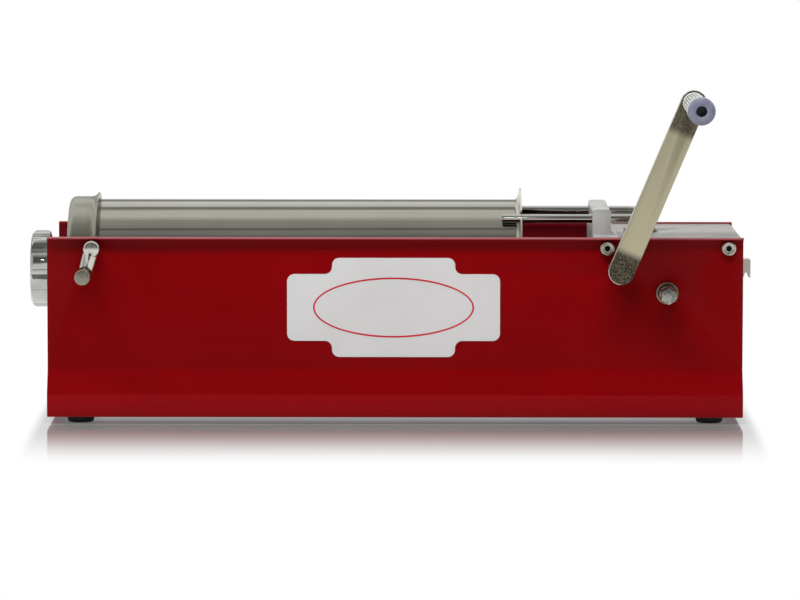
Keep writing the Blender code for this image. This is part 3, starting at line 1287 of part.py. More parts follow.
def make_bearing_plates():
    """The gearbox's two inner plates, the bar between them, the roller and its pin."""
    outline = [
        (PLATE_FRONT, PLATE_BOTTOM),
        (PLATE_REAR, PLATE_BOTTOM),
        (PLATE_REAR, PLATE_TOP),
        (BLOCK_REAR + GAP, PLATE_TOP),
        (BLOCK_REAR + GAP, BLOCK_BOTTOM - GAP),
        (PLATE_FRONT, BLOCK_BOTTOM - GAP),
    ]
    small = SMALL_SCREW_RADIUS + GAP
    middle = (PLATE_INNER + PLATE_OUTER) / 2
    tie_z = (TIE_BOTTOM + PLATE_TOP) / 2
    for side, name in ((-1, "near_bearing_plate"), (1, "far_bearing_plate")):
        low = min(side * PLATE_INNER, side * PLATE_OUTER)
        high = low + PLATE_THICKNESS
        made = plate(name, [outline], "Y", low, high, CAST_ALUMINIUM)
        past = (low - MM, high + MM)
        bush = DRIVE_RADIUS + 2 * GAP + BUSH_WALL
        holes = [
            ("Y", *past, (DRIVE_X, DRIVE_Z), bush),
            ("Y", *past, (DRIVE_X, ROLLER_Z), ROLLER_PIN_RADIUS + GAP),
        ]
        if side < 0:
            holes.append(("Y", *past, (CRANK_X, CRANK_Z), CRANK_JOURNAL_RADIUS + 2 * GAP + BUSH_WALL))
        for x in TIE_SCREW_X:
            holes.append(("Y", *past, (x, tie_z), small))
        depth = SMALL_SCREW_LENGTH
        for z in PLATE_SCREW_Z:
            holes.append(("X", PLATE_REAR - depth, PLATE_REAR + MM, (side * middle, z), small))
        low_screw = (side * middle, PLATE_SCREW_Z[0])
        holes.append(("X", PLATE_FRONT - MM, PLATE_FRONT + depth, low_screw, small))
        drill(made, holes)

    tie_half = PLATE_INNER - GAP
    outline = [
        (TIE_FRONT, TIE_BOTTOM),
        (TIE_REAR, TIE_BOTTOM),
        (TIE_REAR, PLATE_TOP),
        (TIE_FRONT, PLATE_TOP),
    ]
    tie = plate("tie_bar", [outline], "Y", -tie_half, tie_half, CAST_ALUMINIUM)
    ends = (TIE_BOTTOM - MM, PLATE_TOP + MM)
    holes = [("Z", *ends, (x, 0), COVER_SCREW_RADIUS + GAP) for x in COVER_SCREW_X]
    depth = SMALL_SCREW_LENGTH - PLATE_THICKNESS
    for x in TIE_SCREW_X:
        holes.append(("Y", -tie_half - MM, -tie_half + depth, (x, tie_z), small))
        holes.append(("Y", tie_half - depth, tie_half + MM, (x, tie_z), small))
    drill(tie, holes, sides=FINE_SIDES)

    roller = ring_outline(ROLLER_PIN_RADIUS + GAP, ROLLER_RADIUS, -ROLLER_HALF_LENGTH, ROLLER_HALF_LENGTH)
    turned("rack_roller", roller, "Y", (DRIVE_X, ROLLER_Z), ZINC_STEEL, ROLLER_AXIS)
    pin = cylinder_outline(ROLLER_PIN_RADIUS, -PLATE_OUTER, PLATE_OUTER)
    turned("roller_pin", pin, "Y", (DRIVE_X, ROLLER_Z), ZINC_STEEL, sides=SMALL_SIDES)


def make_cover():
    """The stainless cover over the gearbox, bent down as the rear wall, and its screws."""
    points = [
        (BLOCK_REAR + GAP, COVER_TOP),
        (TRAY_HALF, COVER_TOP),
        (TRAY_HALF, COVER_BOTTOM),
        (TRAY_HALF - COVER_SHEET, COVER_BOTTOM),
        (TRAY_HALF - COVER_SHEET, COVER_UNDER),
        (BLOCK_REAR + GAP, COVER_UNDER),
    ]
    inner_bend = COVER_BEND - COVER_SHEET
    outline = rounded(points, (0, COVER_BEND, 0, 0, inner_bend, 0), 3, closed=True)
    cover = plate("gearbox_cover", [outline], "Y", -COVER_HALF_WIDTH, COVER_HALF_WIDTH, STAINLESS)
    slot_y = (-RACK_WIDTH / 2 - 2 * SLIDE_GAP, RACK_WIDTH / 2 + 2 * SLIDE_GAP)
    slot_z = (RACK_TIP - 2 * SLIDE_GAP, RACK_TOP + 2 * SLIDE_GAP)
    slot = ((TRAY_HALF - 2 * COVER_SHEET, TRAY_HALF + MM), slot_y, slot_z)
    top = (COVER_UNDER - MM, COVER_TOP + MM)
    holes = [("Z", *top, (x, 0), COVER_SCREW_RADIUS + GAP) for x in COVER_SCREW_X]
    drill(cover, holes, [slot], sides=FINE_SIDES)
    head = (COVER_SCREW_HEAD, COVER_SCREW_HEAD_HEIGHT)
    screw = screw_mesh(COVER_SCREW_RADIUS, COVER_SCREW_LENGTH, *head)
    places = [((x, 0, COVER_TOP + GAP), UPWARD) for x in COVER_SCREW_X]
    copies(sided("cover_screw", ("front", "rear")), screw, places, ZINC_STEEL)


def make_locking_rods():
    """The U-shaped rod that holds the cylinder's rear end down, and its two bushes."""
    corners = [(ROD_FRONT, -ROD_Y), (ROD_REAR, -ROD_Y), (ROD_REAR, ROD_Y), (ROD_FRONT, ROD_Y)]
    path = rounded(corners, (0, ROD_BEND, ROD_BEND, 0), 5)
    curve = bpy.data.curves.new("locking_rods", "CURVE")
    curve.dimensions = "3D"
    curve.bevel_depth = ROD_RADIUS
    curve.bevel_resolution = 3
    curve.use_fill_caps = True
    spline = curve.splines.new("POLY")
    spline.points.add(len(path) - 1)
    for point, (x, y) in zip(spline.points, path):
        point.co = (x - ROD_FRONT, y, 0, 1)
    rods = add_object("locking_rods", curve, STAINLESS, ROD_CARRIAGE, (ROD_FRONT, 0, ROD_Z))
    rods.data.splines[0].use_smooth = True

    bore = ROD_RADIUS + GAP
    length = BAR_REAR - BULKHEAD_FRONT
    outline = ring_outline(bore, bore + BUSH_WALL, -length / 2, length / 2)
    mesh = baked(turned("rod_bush_blank", outline, "Z", (0, 0), BRONZE, sides=SMALL_SIDES))
    middle = (BAR_REAR + BULKHEAD_FRONT) / 2
    places = [((middle, side * ROD_Y, ROD_Z), REARWARD) for side in (-1, 1)]
    copies(sided("rod_bush"), mesh, places, BRONZE)


def make_crank():
    """The crank: a flat bar, its hexagon socket, and the grip on its bolt with cap and nut."""
    along = Vector((math.sin(CRANK_LEAN), math.cos(CRANK_LEAN)))
    heading = math.atan2(along.y, along.x)
    radius = CRANK_WIDTH / 2
    left = heading + math.pi / 2
    right = heading - math.pi / 2
    top = arc_points((GRIP_X, GRIP_Z), radius, right, left, CRANK_END_STEPS)
    foot = arc_points((CRANK_X, CRANK_Z), radius, left, left + math.pi, CRANK_END_STEPS)
    hole = ring_points(GRIP_BOLT_RADIUS + GAP, SMALL_SIDES, (GRIP_X, GRIP_Z))
    plate("crank_arm", [top + foot, hole], "Y", CRANK_FRONT, CRANK_BACK, BRIGHT_BAR, CRANK_AXIS)

    outer = ring_points(SOCKET_RADIUS, MIDDLE_SIDES, (CRANK_X, CRANK_Z))
    hexagon = ring_points(HEX_CORNER + 2 * GAP, 6, (CRANK_X, CRANK_Z), math.pi / 2)
    back = CRANK_BACK + GAP
    plate("crank_socket", [outer, hexagon], "Y", back, back + SOCKET_LENGTH, ZINC_STEEL, CRANK_AXIS)

    across = (GRIP_X, GRIP_Z)
    bore = GRIP_BOLT_RADIUS + GAP
    sleeve = [
        (bore, GRIP_BACK),
        (GRIP_COLLAR_RADIUS, GRIP_BACK),
        (GRIP_COLLAR_RADIUS, GRIP_BACK - GRIP_COLLAR),
        (GRIP_NEAR_RADIUS, GRIP_BACK - GRIP_COLLAR),
        (GRIP_FAR_RADIUS, GRIP_FRONT),
        (bore, GRIP_FRONT),
    ]
    turned("crank_grip", sleeve, "Y", across, WHITE_PLASTIC, GRIP_AXIS)
    cavity = CAP_BACK - CAP_CAVITY
    edge = arc_points((CAP_RADIUS - CAP_ROUND, CAP_FRONT + CAP_ROUND), CAP_ROUND, 0, -math.pi / 2, 3)
    cap = [
        (CAP_CAVITY_RADIUS, CAP_BACK),
        (CAP_RADIUS, CAP_BACK),
        *edge,
        (CAP_HOLE_RADIUS, CAP_FRONT),
        (CAP_HOLE_RADIUS, cavity),
        (CAP_CAVITY_RADIUS, cavity),
    ]
    turned("grip_end_cap", cap, "Y", across, CAP_PLASTIC, GRIP_AXIS)
    head_back = CAP_BACK - GAP
    nut_near = CRANK_BACK + GAP
    bolt = [
        (0, nut_near + NUT_HEIGHT + THREAD_PAST_NUT),
        (GRIP_BOLT_RADIUS, nut_near + NUT_HEIGHT + THREAD_PAST_NUT),
        (GRIP_BOLT_RADIUS, head_back),
        (GRIP_BOLT_HEAD_RADIUS, head_back),
        (GRIP_BOLT_HEAD_RADIUS, head_back - GRIP_BOLT_HEAD),
        (0, head_back - GRIP_BOLT_HEAD),
    ]
    turned("grip_bolt", bolt, "Y", across, ZINC_STEEL, CRANK_AXIS, SMALL_SIDES)
    hexagon = ring_points(NUT_FLATS / 2 / math.cos(math.pi / 6), 6, across)
    bore = ring_points(GRIP_BOLT_RADIUS + GAP, SMALL_SIDES, across)
    plate("grip_nut", [hexagon, bore], "Y", nut_near, nut_near + NUT_HEIGHT, ZINC_STEEL, CRANK_AXIS)


make_tray()
make_feet()
make_cross_plate()
make_saddle()
make_cylinder()
make_head()
make_ring_nut()
make_pivots()
make_piston()
make_rack()
make_drive_shaft()
make_crank_shaft()
make_bushes()
make_bulkheads()
make_bearing_plates()
make_cover()
make_locking_rods()
make_crank()
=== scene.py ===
"""A lying sausage stuffer, dressed and lit in a plain studio.

Lengths are in metres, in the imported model's frame: +X runs from the outlet to the gearbox, +Y away from the crank.
"""

import math

import bpy
from mathutils import Matrix, Vector


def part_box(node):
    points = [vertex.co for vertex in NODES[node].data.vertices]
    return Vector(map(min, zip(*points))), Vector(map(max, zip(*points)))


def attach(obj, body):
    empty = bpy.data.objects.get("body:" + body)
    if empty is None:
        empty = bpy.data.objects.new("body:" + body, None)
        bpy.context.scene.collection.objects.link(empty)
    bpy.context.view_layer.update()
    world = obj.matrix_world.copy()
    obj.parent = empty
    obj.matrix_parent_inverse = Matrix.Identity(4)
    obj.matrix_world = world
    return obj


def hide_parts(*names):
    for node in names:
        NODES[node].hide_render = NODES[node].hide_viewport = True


MM = 0.001
# The clearance between pieces, and the hole for a pin of 5 mm radius
GAP = 0.3 * MM
PIN_HOLE = 5.3 * MM
# Sides of large, middle and small round pieces
TUBE_SIDES = 160
SIDES = 96
FINE_SIDES = 64
SMALL_SIDES = 48
SMOOTH_ANGLE = math.radians(32)
# Points closer than this are one, and faces flatter than this are one
MERGE = MM / 1000
FLAT_ANGLE = math.radians(0.5)

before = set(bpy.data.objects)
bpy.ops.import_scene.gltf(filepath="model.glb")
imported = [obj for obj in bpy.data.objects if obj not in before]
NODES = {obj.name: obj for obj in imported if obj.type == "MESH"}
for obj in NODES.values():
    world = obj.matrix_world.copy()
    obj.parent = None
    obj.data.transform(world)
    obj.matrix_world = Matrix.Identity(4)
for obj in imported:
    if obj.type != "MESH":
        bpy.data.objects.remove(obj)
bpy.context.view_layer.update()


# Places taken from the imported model

def low(node):
    """The low corner of a CAD node's box."""
    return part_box(node)[0]


def high(node):
    """The high corner of a CAD node's box."""
    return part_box(node)[1]


def middle(node):
    """The middle of a CAD node's box."""
    return (low(node) + high(node)) / 2


def half(node):
    """Half of a CAD node's size."""
    return (high(node) - low(node)) / 2


TRAY_LOW, TRAY_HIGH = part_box("tray")
MIDDLE_X, MIDDLE_Y = middle("tray").x, middle("tray").y
# The tray's sheet, how far its skirts stand out from its walls, and two sizes of the CAD that no box gives
SHEET = 2 * MM
SKIRT_OUT = 12 * MM
ROLLER_ABOVE_DRIVE = 31.4 * MM
ROD_RADIUS = 4 * MM
WALL_NEAR = TRAY_LOW.y + SKIRT_OUT
WALL_FAR = TRAY_HIGH.y - SKIRT_OUT
TUBE_AXIS = (MIDDLE_Y, middle("ring_nut").z)
DRIVE_AXIS = (middle("large_gear").x, middle("rack_roller").z - ROLLER_ABOVE_DRIVE)
CRANK_AXIS = (middle("crank_shaft_wall_bush").x, middle("crank_shaft_wall_bush").z)
GRIP_AXIS = (middle("crank_grip").x, middle("crank_grip").z)
PIVOT_AXIS = (middle("pivot_bush_near").x, middle("pivot_bush_near").z)
TUBE_OUT = half("head_gasket").y


# Materials: a helper for nodes, the node groups, then the functions that build a finish

# Most of a noise texture lies between these two values
MASK_LOW, MASK_HIGH = 0.3, 0.7


def wire(tree, kind, inputs=None, **settings):
    """A shader node with its settings; each input takes a plain value or the socket that feeds it."""
    made = tree.nodes.new(kind)
    for name, value in settings.items():
        setattr(made, name, value)
    for name, value in (inputs or {}).items():
        if isinstance(value, bpy.types.NodeSocket):
            tree.links.new(value, made.inputs[name])
        else:
            made.inputs[name].default_value = value
    return made


def calculate(tree, operation, *values):
    """The result of a Math node."""
    return wire(tree, "ShaderNodeMath", dict(enumerate(values)), operation=operation).outputs["Value"]


def vector_step(tree, operation, *values):
    """The vector that a Vector Math node gives."""
    return wire(tree, "ShaderNodeVectorMath", dict(enumerate(values)), operation=operation).outputs["Vector"]


def noise(tree, place, size, detail):
    """A noise texture's grey value."""
    return wire(tree, "ShaderNodeTexNoise", {"Vector": place, "Scale": size, "Detail": detail}).outputs["Fac"]


def mix_colours(tree, share, first, last):
    """One colour over into another; each is a socket or red, green, blue and alpha."""
    inputs = {"Factor": share, "A": first, "B": last}
    return wire(tree, "ShaderNodeMix", inputs, data_type="RGBA").outputs["Result"]


def new_group(name, inputs, outputs):
    """A shader node group with named sockets: inputs (name, kind, value), outputs (name, kind)."""
    group = bpy.data.node_groups.new(name, "ShaderNodeTree")
    for label, kind, value in inputs:
        made = group.interface.new_socket(label, in_out="INPUT", socket_type=kind)
        made.default_value = value
    for label, kind in outputs:
        group.interface.new_socket(label, in_out="OUTPUT", socket_type=kind)
    return group, group.nodes.new("NodeGroupInput").outputs, group.nodes.new("NodeGroupOutput").inputs


def streaks_group():
    """Fine lines along one axis, as rolling or drawing leaves them, with slow blotches under them."""
    group, given, put = new_group(
        "streaks",
        [
            ("Stretch", "NodeSocketVector", (1, 1, 1)),
            ("Blotch Size", "NodeSocketFloat", 20.0),
            ("Blotch Share", "NodeSocketFloat", 0.5),
        ],
        [("Mask", "NodeSocketFloat")],
    )
    place = wire(group, "ShaderNodeTexCoord").outputs["Object"]
    lines = noise(group, vector_step(group, "MULTIPLY", place, given["Stretch"]), 1.0, 4.0)
    blotches = noise(group, place, given["Blotch Size"], 3.0)
    mix = wire(group, "ShaderNodeMix", {"Factor": given["Blotch Share"], "A": lines, "B": blotches})
    group.links.new(mix.outputs["Result"], put["Mask"])
    return group


def grain_group():
    """An even grain of one size with larger soft patches: orange peel, cast skin or moulded skin."""
    group, given, put = new_group(
        "grain",
        [("Grain Size", "NodeSocketFloat", 500.0), ("Patch Size", "NodeSocketFloat", 15.0)],
        [("Grain", "NodeSocketFloat"), ("Patches", "NodeSocketFloat")],
    )
    place = wire(group, "ShaderNodeTexCoord").outputs["Object"]
    group.links.new(noise(group, place, given["Grain Size"], 2.0), put["Grain"])
    group.links.new(noise(group, place, given["Patch Size"], 4.0), put["Patches"])
    return group


STREAKS = streaks_group()
GRAIN = grain_group()


def start_material(name, metallic, specular=0.5):
    """A material, its node tree and its Principled shader."""
    made = bpy.data.materials.new(name)
    made.use_nodes = True
    shader = made.node_tree.nodes["Principled BSDF"]
    shader.inputs["Metallic"].default_value = metallic
    shader.inputs["Specular IOR Level"].default_value = specular
    return made, made.node_tree, shader


def spread(tree, mask, first, last, low=0.0, high=1.0):
    """A mask's stretch from first to last, laid over the values from low to high."""
    inputs = {"Value": mask, "From Min": first, "From Max": last, "To Min": low, "To Max": high}
    return wire(tree, "ShaderNodeMapRange", inputs).outputs["Result"]


def smooth_spread(tree, mask, first, last):
    """0 to 1 from first to last, with soft ends."""
    inputs = {"Value": mask, "From Min": first, "From Max": last}
    return wire(tree, "ShaderNodeMapRange", inputs, interpolation_type="SMOOTHSTEP").outputs["Result"]


def show_marks(tree, shader, marks):
    """Sockets for a finish's colour and roughness, under marks: an attribute, its colour and its roughness."""
    colour, polish = shader.inputs["Base Color"], shader.inputs["Roughness"]
    for name, shade, rough in marks:
        share = wire(tree, "ShaderNodeAttribute", attribute_name=name).outputs["Fac"]
        surface = wire(tree, "ShaderNodeMix", {"Factor": share, "B": (*shade, 1)}, data_type="RGBA")
        even = wire(tree, "ShaderNodeMix", {"Factor": share, "B": rough})
        tree.links.new(surface.outputs["Result"], colour)
        tree.links.new(even.outputs["Result"], polish)
        colour, polish = surface.inputs["A"], even.inputs["A"]
    return colour, polish


def bump(tree, shader, height, strength, depth):
    """Raises the surface by a mask."""
    relief = wire(tree, "ShaderNodeBump", {"Height": height, "Strength": strength, "Distance": depth})
    tree.links.new(relief.outputs["Normal"], shader.inputs["Normal"])


def lay_on(tree, shader, mask, dark, light, rough, marks):
    """A finish's colours and roughness, spread over a mask, with its marks on top."""
    colour, polish = show_marks(tree, shader, marks)
    stretched = spread(tree, mask, MASK_LOW, MASK_HIGH)
    tree.links.new(mix_colours(tree, stretched, (*dark, 1), (*light, 1)), colour)
    tree.links.new(spread(tree, mask, MASK_LOW, MASK_HIGH, *rough), polish)


def grained(name, dark, light, rough, metallic=0.0, grain=500.0, patch=15.0, relief=0.2,
            depth=0.1 * MM, specular=0.5, marks=()):
    """A painted, cast or moulded finish; marks are as for show_marks."""
    made, tree, shader = start_material(name, metallic, specular)
    group = wire(tree, "ShaderNodeGroup", {"Grain Size": grain, "Patch Size": patch}, node_tree=GRAIN)
    lay_on(tree, shader, group.outputs["Patches"], dark, light, rough, marks)
    bump(tree, shader, group.outputs["Grain"], relief, depth)
    return made


def streaked(name, dark, light, rough, stretch, blotch=20.0, relief=0.15, marks=()):
    """A bare metal finish with lines along one axis; marks are as for show_marks."""
    made, tree, shader = start_material(name, 1.0)
    inputs = {"Stretch": stretch, "Blotch Size": blotch, "Blotch Share": 0.4}
    group = wire(tree, "ShaderNodeGroup", inputs, node_tree=STREAKS)
    lay_on(tree, shader, group.outputs["Mask"], dark, light, rough, marks)
    bump(tree, shader, group.outputs["Mask"], relief, 0.05 * MM)
    return made


# The red's "edge" mark is a painted highlight along the tray's flange edges.
RED = grained("red_enamel", (0.193, 0.0006, 0.0018), (0.237, 0.0009, 0.0026), (0.34, 0.44),
              grain=900.0, patch=5.0, relief=0.12, depth=0.05 * MM, specular=0.07,
              # The "inside" mark is painted shade: a darker red over the tray's inner walls and floor.
              marks=(("edge", (0.50, 0.20, 0.22), 0.3), ("inside", (0.115, 0.0030, 0.0065), 0.5),
                     # The "skirt" mark is painted light: a lighter red on the lower skirt below the joggle.
                     ("skirt", (0.285, 0.0032, 0.0058), 0.4)))
# The tube's "flare" mark is a painted highlight: a pale cream colour over the flared lip.
TUBE_STEEL = streaked("rolled_tube", (0.30, 0.293, 0.250), (0.42, 0.412, 0.358), (0.07, 0.14),
                      (5, 700, 700), blotch=12.0, relief=0.10, marks=(("flare", (0.86, 0.83, 0.74), 0.42),))
SHEET_STEEL = streaked("stainless_sheet", (0.42, 0.41, 0.37), (0.57, 0.555, 0.515), (0.22, 0.36),
                       (30, 1200, 30), blotch=18.0)
ROD_STEEL = streaked("drawn_rod", (0.44, 0.43, 0.40), (0.62, 0.61, 0.57), (0.10, 0.20),
                     (8, 1500, 1500), blotch=30.0)
CAST = grained("cast_aluminium_skin", (0.50, 0.50, 0.49), (0.66, 0.655, 0.64), (0.34, 0.52), 0.55,
               grain=1400.0, patch=40.0, relief=0.35, depth=0.12 * MM)
HEAD_METAL = grained("spun_head", (0.295, 0.288, 0.238), (0.47, 0.46, 0.385), (0.26, 0.42), 1.0,
                     grain=1100.0, patch=30.0, relief=0.15, depth=0.06 * MM)
NUT_METAL = grained("polished_nut", (0.40, 0.40, 0.385), (0.60, 0.60, 0.575), (0.10, 0.24), 1.0,
                    grain=900.0, patch=45.0, relief=0.12, depth=0.05 * MM)
CHROME = grained("bright_chrome", (0.56, 0.55, 0.49), (0.70, 0.69, 0.62), (0.16, 0.26), 1.0,
                 grain=700.0, patch=60.0, relief=0.05, depth=0.03 * MM)
KNOB_METAL = grained("turned_knob", (0.235, 0.215, 0.17), (0.385, 0.36, 0.29), (0.30, 0.42), 1.0,
                     grain=2000.0, patch=260.0, relief=0.15, depth=0.04 * MM)
# The zinc's "recess" mark is painted shade: near black inside the screws' hex sockets.
ZINC = grained("zinc_plate", (0.36, 0.335, 0.29), (0.58, 0.55, 0.49), (0.20, 0.38), 1.0,
               grain=1600.0, patch=260.0, relief=0.2, depth=0.05 * MM,
               marks=(("recess", (0.012, 0.012, 0.010), 0.5),))
WORN_STEEL = grained("handled_steel", (0.12, 0.12, 0.105), (0.50, 0.485, 0.44), (0.28, 0.46), 1.0,
                     grain=2200.0, patch=420.0, relief=0.35, depth=0.08 * MM)
# Painted shade: a near-black metal for the zinc-plated grip spindle, which sits in shade inside the cap's hole.
SPINDLE_SHADE = grained("spindle_painted_shade", (0.006, 0.007, 0.009), (0.020, 0.022, 0.026), (0.22, 0.4), 0.6,
                    grain=2200.0, patch=300.0, relief=0.2, depth=0.04 * MM)
BRONZE = grained("oiled_bronze", (0.17, 0.115, 0.085), (0.33, 0.24, 0.19), (0.28, 0.44), 1.0,
                 grain=2600.0, patch=200.0, relief=0.3, depth=0.06 * MM)
RUBBER = grained("black_rubber", (0.006, 0.006, 0.006), (0.016, 0.016, 0.015), (0.6, 0.8),
                 grain=1800.0, patch=60.0, relief=0.3, depth=0.08 * MM)
# The nylon's "flute" mark is painted shade: a dark grey in the grip's flutes.
WHITE = grained("white_nylon", (0.60, 0.61, 0.58), (0.72, 0.73, 0.70), (0.34, 0.46),
                grain=1500.0, patch=40.0, relief=0.12, depth=0.05 * MM,
                marks=(("flute", (0.27, 0.28, 0.255), 0.6),))
SEAL = grained("seal_rubber", (0.52, 0.50, 0.44), (0.62, 0.60, 0.54), (0.5, 0.65),
               grain=1500.0, patch=50.0, relief=0.15, depth=0.05 * MM)
CAP = grained("violet_cap", (0.15, 0.153, 0.215), (0.25, 0.252, 0.335), (0.13, 0.20),
              grain=1500.0, patch=130.0, relief=0.06, depth=0.03 * MM)
LABEL_WHITE = grained("label_film", (0.63, 0.625, 0.62), (0.70, 0.695, 0.69), (0.30, 0.42),
                      grain=1200.0, patch=12.0, relief=0.05, depth=0.02 * MM, specular=0.3)
LABEL_RED = grained("label_ink", (0.50, 0.008, 0.022), (0.62, 0.012, 0.030), (0.34, 0.46),
                    grain=1200.0, patch=12.0, relief=0.05, depth=0.02 * MM, specular=0.3)


def crank_material():
    """The crank's ground bar: lines along it, tarnish at both ends, and a painted highlight along its front edge."""
    made, tree, shader = start_material("ground_bar", 0.8)
    onto_bar = {"Location": (CRANK_AXIS[0], 0, CRANK_AXIS[1]), "Rotation": (0, CRANK_LEAN, 0)}
    onto_bar["Vector"] = wire(tree, "ShaderNodeTexCoord").outputs["Object"]
    place = wire(tree, "ShaderNodeMapping", onto_bar, vector_type="TEXTURE").outputs["Vector"]
    lines = noise(tree, vector_step(tree, "MULTIPLY", place, (1500, 1500, 12)), 1.0, 4.0)
    mottle = noise(tree, place, 700.0, 5.0)
    along = wire(tree, "ShaderNodeSeparateXYZ", {"Vector": place}).outputs["Z"]
    foot = smooth_spread(tree, along, TARNISH_FOOT + TARNISH_FADE, TARNISH_FOOT)
    top = smooth_spread(tree, along, TARNISH_TOP, TARNISH_TOP + TARNISH_FADE)
    tarnish = calculate(tree, "MAXIMUM", foot, calculate(tree, "MULTIPLY", top, TARNISH_TOP_SHARE))
    clean_share = spread(tree, lines, MASK_LOW, MASK_HIGH)
    clean = mix_colours(tree, clean_share, (0.465, 0.43, 0.285, 1), (0.535, 0.50, 0.345, 1))
    stain_share = spread(tree, mottle, 0.35, 0.7)
    stained = mix_colours(tree, stain_share, (0.010, 0.008, 0.005, 1), (0.165, 0.138, 0.094, 1))
    # Painted highlight: a pale line along the left part of the bar's front edge, where the bevel catches the light.
    colour, polish = show_marks(tree, shader, (("painted_edge_highlight", (0.92, 0.89, 0.78), 0.3),))
    tree.links.new(mix_colours(tree, tarnish, clean, stained), colour)
    tree.links.new(spread(tree, lines, MASK_LOW, MASK_HIGH, 0.36, 0.48), polish)
    bump(tree, shader, lines, 0.06, 0.04 * MM)
    return made


# Modelling: every helper leaves one selected mesh object at the origin, with its place in its mesh

def deselect():
    """Object mode, nothing selected."""
    if bpy.context.object and bpy.context.object.mode != "OBJECT":
        bpy.ops.object.mode_set(mode="OBJECT")
    bpy.ops.object.select_all(action="DESELECT")


def pick(piece):
    """Only this piece is selected and active."""
    deselect()
    piece.select_set(True)
    bpy.context.view_layer.objects.active = piece
    return piece


def named(name):
    """Name the piece just added."""
    piece = bpy.context.active_object
    piece.name = name
    piece.data.name = name
    return piece


def apply_all(piece):
    """Apply a piece's modifiers in order."""
    pick(piece)
    for modifier in list(piece.modifiers):
        bpy.ops.object.modifier_apply(modifier=modifier.name)
    return piece


def soften(piece, width, segments=2, angle=SMOOTH_ANGLE):
    """Break the sharp edges and shade the rest smooth."""
    pick(piece)
    if width:
        edge = piece.modifiers.new("broken_edges", "BEVEL")
        edge.width = width
        edge.segments = segments
        edge.limit_method = "ANGLE"
        edge.angle_limit = angle
        edge.use_clamp_overlap = True
        apply_all(piece)
    bpy.ops.object.shade_smooth_by_angle(angle=SMOOTH_ANGLE)
    return piece


def close_up():
    """Merge the active piece's doubled points and turn its faces outwards."""
    bpy.ops.object.mode_set(mode="EDIT")
    bpy.ops.mesh.select_all(action="SELECT")
    bpy.ops.mesh.remove_doubles(threshold=MERGE)
    bpy.ops.mesh.normals_make_consistent(inside=False)
    bpy.ops.object.mode_set(mode="OBJECT")


TURN = {"X": (0, math.pi / 2, 0), "Y": (-math.pi / 2, 0, 0), "Z": (0, 0, 0)}


def settle(piece, axis, across):
    """Turn a piece made along local Z onto its axis and put it in place."""
    pick(piece)
    piece.rotation_euler = TURN[axis]
    place = list(across)
    place.insert("XYZ".index(axis), 0)
    piece.location = place
    bpy.ops.object.transform_apply(location=True, rotation=True, scale=True)
    return piece


def turned(name, profile, axis, across, sides=SIDES, edge=0.0):
    """A turned piece: (radius, along) points. Solid where it ends on the axis, a ring where it doesn't."""
    deselect()
    solid = profile[0][0] == 0
    points = profile[1:-1] if solid else [*profile, profile[0]]
    fill = "NGON" if solid else "NOTHING"
    radius, along = points[0]
    bpy.ops.mesh.primitive_circle_add(vertices=sides, radius=radius, fill_type=fill, location=(0, 0, 0))
    piece = named(name)
    bpy.ops.object.mode_set(mode="EDIT")
    bpy.ops.mesh.select_all(action="SELECT")
    bpy.ops.transform.translate(value=(0, 0, along))
    for next_radius, next_along in points[1:]:
        bpy.ops.mesh.extrude_region_move(TRANSFORM_OT_translate={"value": (0, 0, next_along - along)})
        share = next_radius / radius
        bpy.ops.transform.resize(value=(share, share, 1), center_override=(0, 0, next_along))
        radius, along = next_radius, next_along
    close_up()
    settle(piece, axis, across)
    return soften(piece, edge)


def sleeve(inner, outer, first, last):
    """A plain ring's profile for turned, or a plain pin's where the inner radius is 0."""
    return [(inner, first), (outer, first), (outer, last), (inner, last)]


def prism(name, radius, span, axis, across, sides=6, spin=0.0):
    """A prism or plain cylinder between two places along an axis."""
    deselect()
    bpy.ops.mesh.primitive_cylinder_add(
        vertices=sides, radius=radius, depth=span[1] - span[0], location=(0, 0, (span[0] + span[1]) / 2),
        rotation=(0, 0, spin),
    )
    piece = named(name)
    bpy.ops.object.transform_apply(location=True, rotation=True, scale=True)
    return settle(piece, axis, across)


def block(name, first, last):
    """A box from its low corner to its high corner."""
    deselect()
    centre = (Vector(first) + Vector(last)) / 2
    bpy.ops.mesh.primitive_cube_add(size=1, location=centre)
    piece = named(name)
    piece.scale = Vector(last) - Vector(first)
    bpy.ops.object.transform_apply(location=True, rotation=True, scale=True)
    return piece


def join_with(piece, other, operation="UNION"):
    """Add one piece to another, or cut it away, and drop it."""
    made = piece.modifiers.new("join", "BOOLEAN")
    made.operation = operation
    made.solver = "EXACT"
    made.object = other
    apply_all(piece)
    drop(other)
    return piece


def cut_with(piece, *others):
    """Cut pieces away from one."""
    for other in others:
        join_with(piece, other, "DIFFERENCE")
    return piece


def refined(node, name, edge=0.0, segments=2):
    """A flat or toothed CAD solid, merged, with its flat sides whole and its edges broken."""
    piece = bpy.data.objects.new(name, NODES[node].data.copy())
    piece.data.name = name
    piece.data.materials.clear()
    bpy.context.scene.collection.objects.link(piece)
    pick(piece)
    bpy.ops.object.mode_set(mode="EDIT")
    bpy.ops.mesh.select_all(action="SELECT")
    bpy.ops.mesh.customdata_custom_splitnormals_clear()
    bpy.ops.mesh.remove_doubles(threshold=MERGE)
    bpy.ops.mesh.dissolve_limited(angle_limit=FLAT_ANGLE)
    bpy.ops.object.mode_set(mode="OBJECT")
    return soften(piece, edge, segments)


def dress(piece, material, body, slot, *nodes):
    """Give a piece its finish, its body and the CAD nodes that it stands for."""
    piece.data.materials.clear()
    piece.data.materials.append(material)
    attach(piece, body)
    if nodes:
        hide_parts(*nodes)
    return piece


def mark_points(piece, name, chosen, level=1.0):
    """A mesh attribute that is at its level where chosen(place) holds, for a finish to read."""
    mark = piece.data.attributes.new(name, "FLOAT", "POINT")
    for vertex in piece.data.vertices:
        mark.data[vertex.index].value = level if chosen(vertex.co) else 0.0


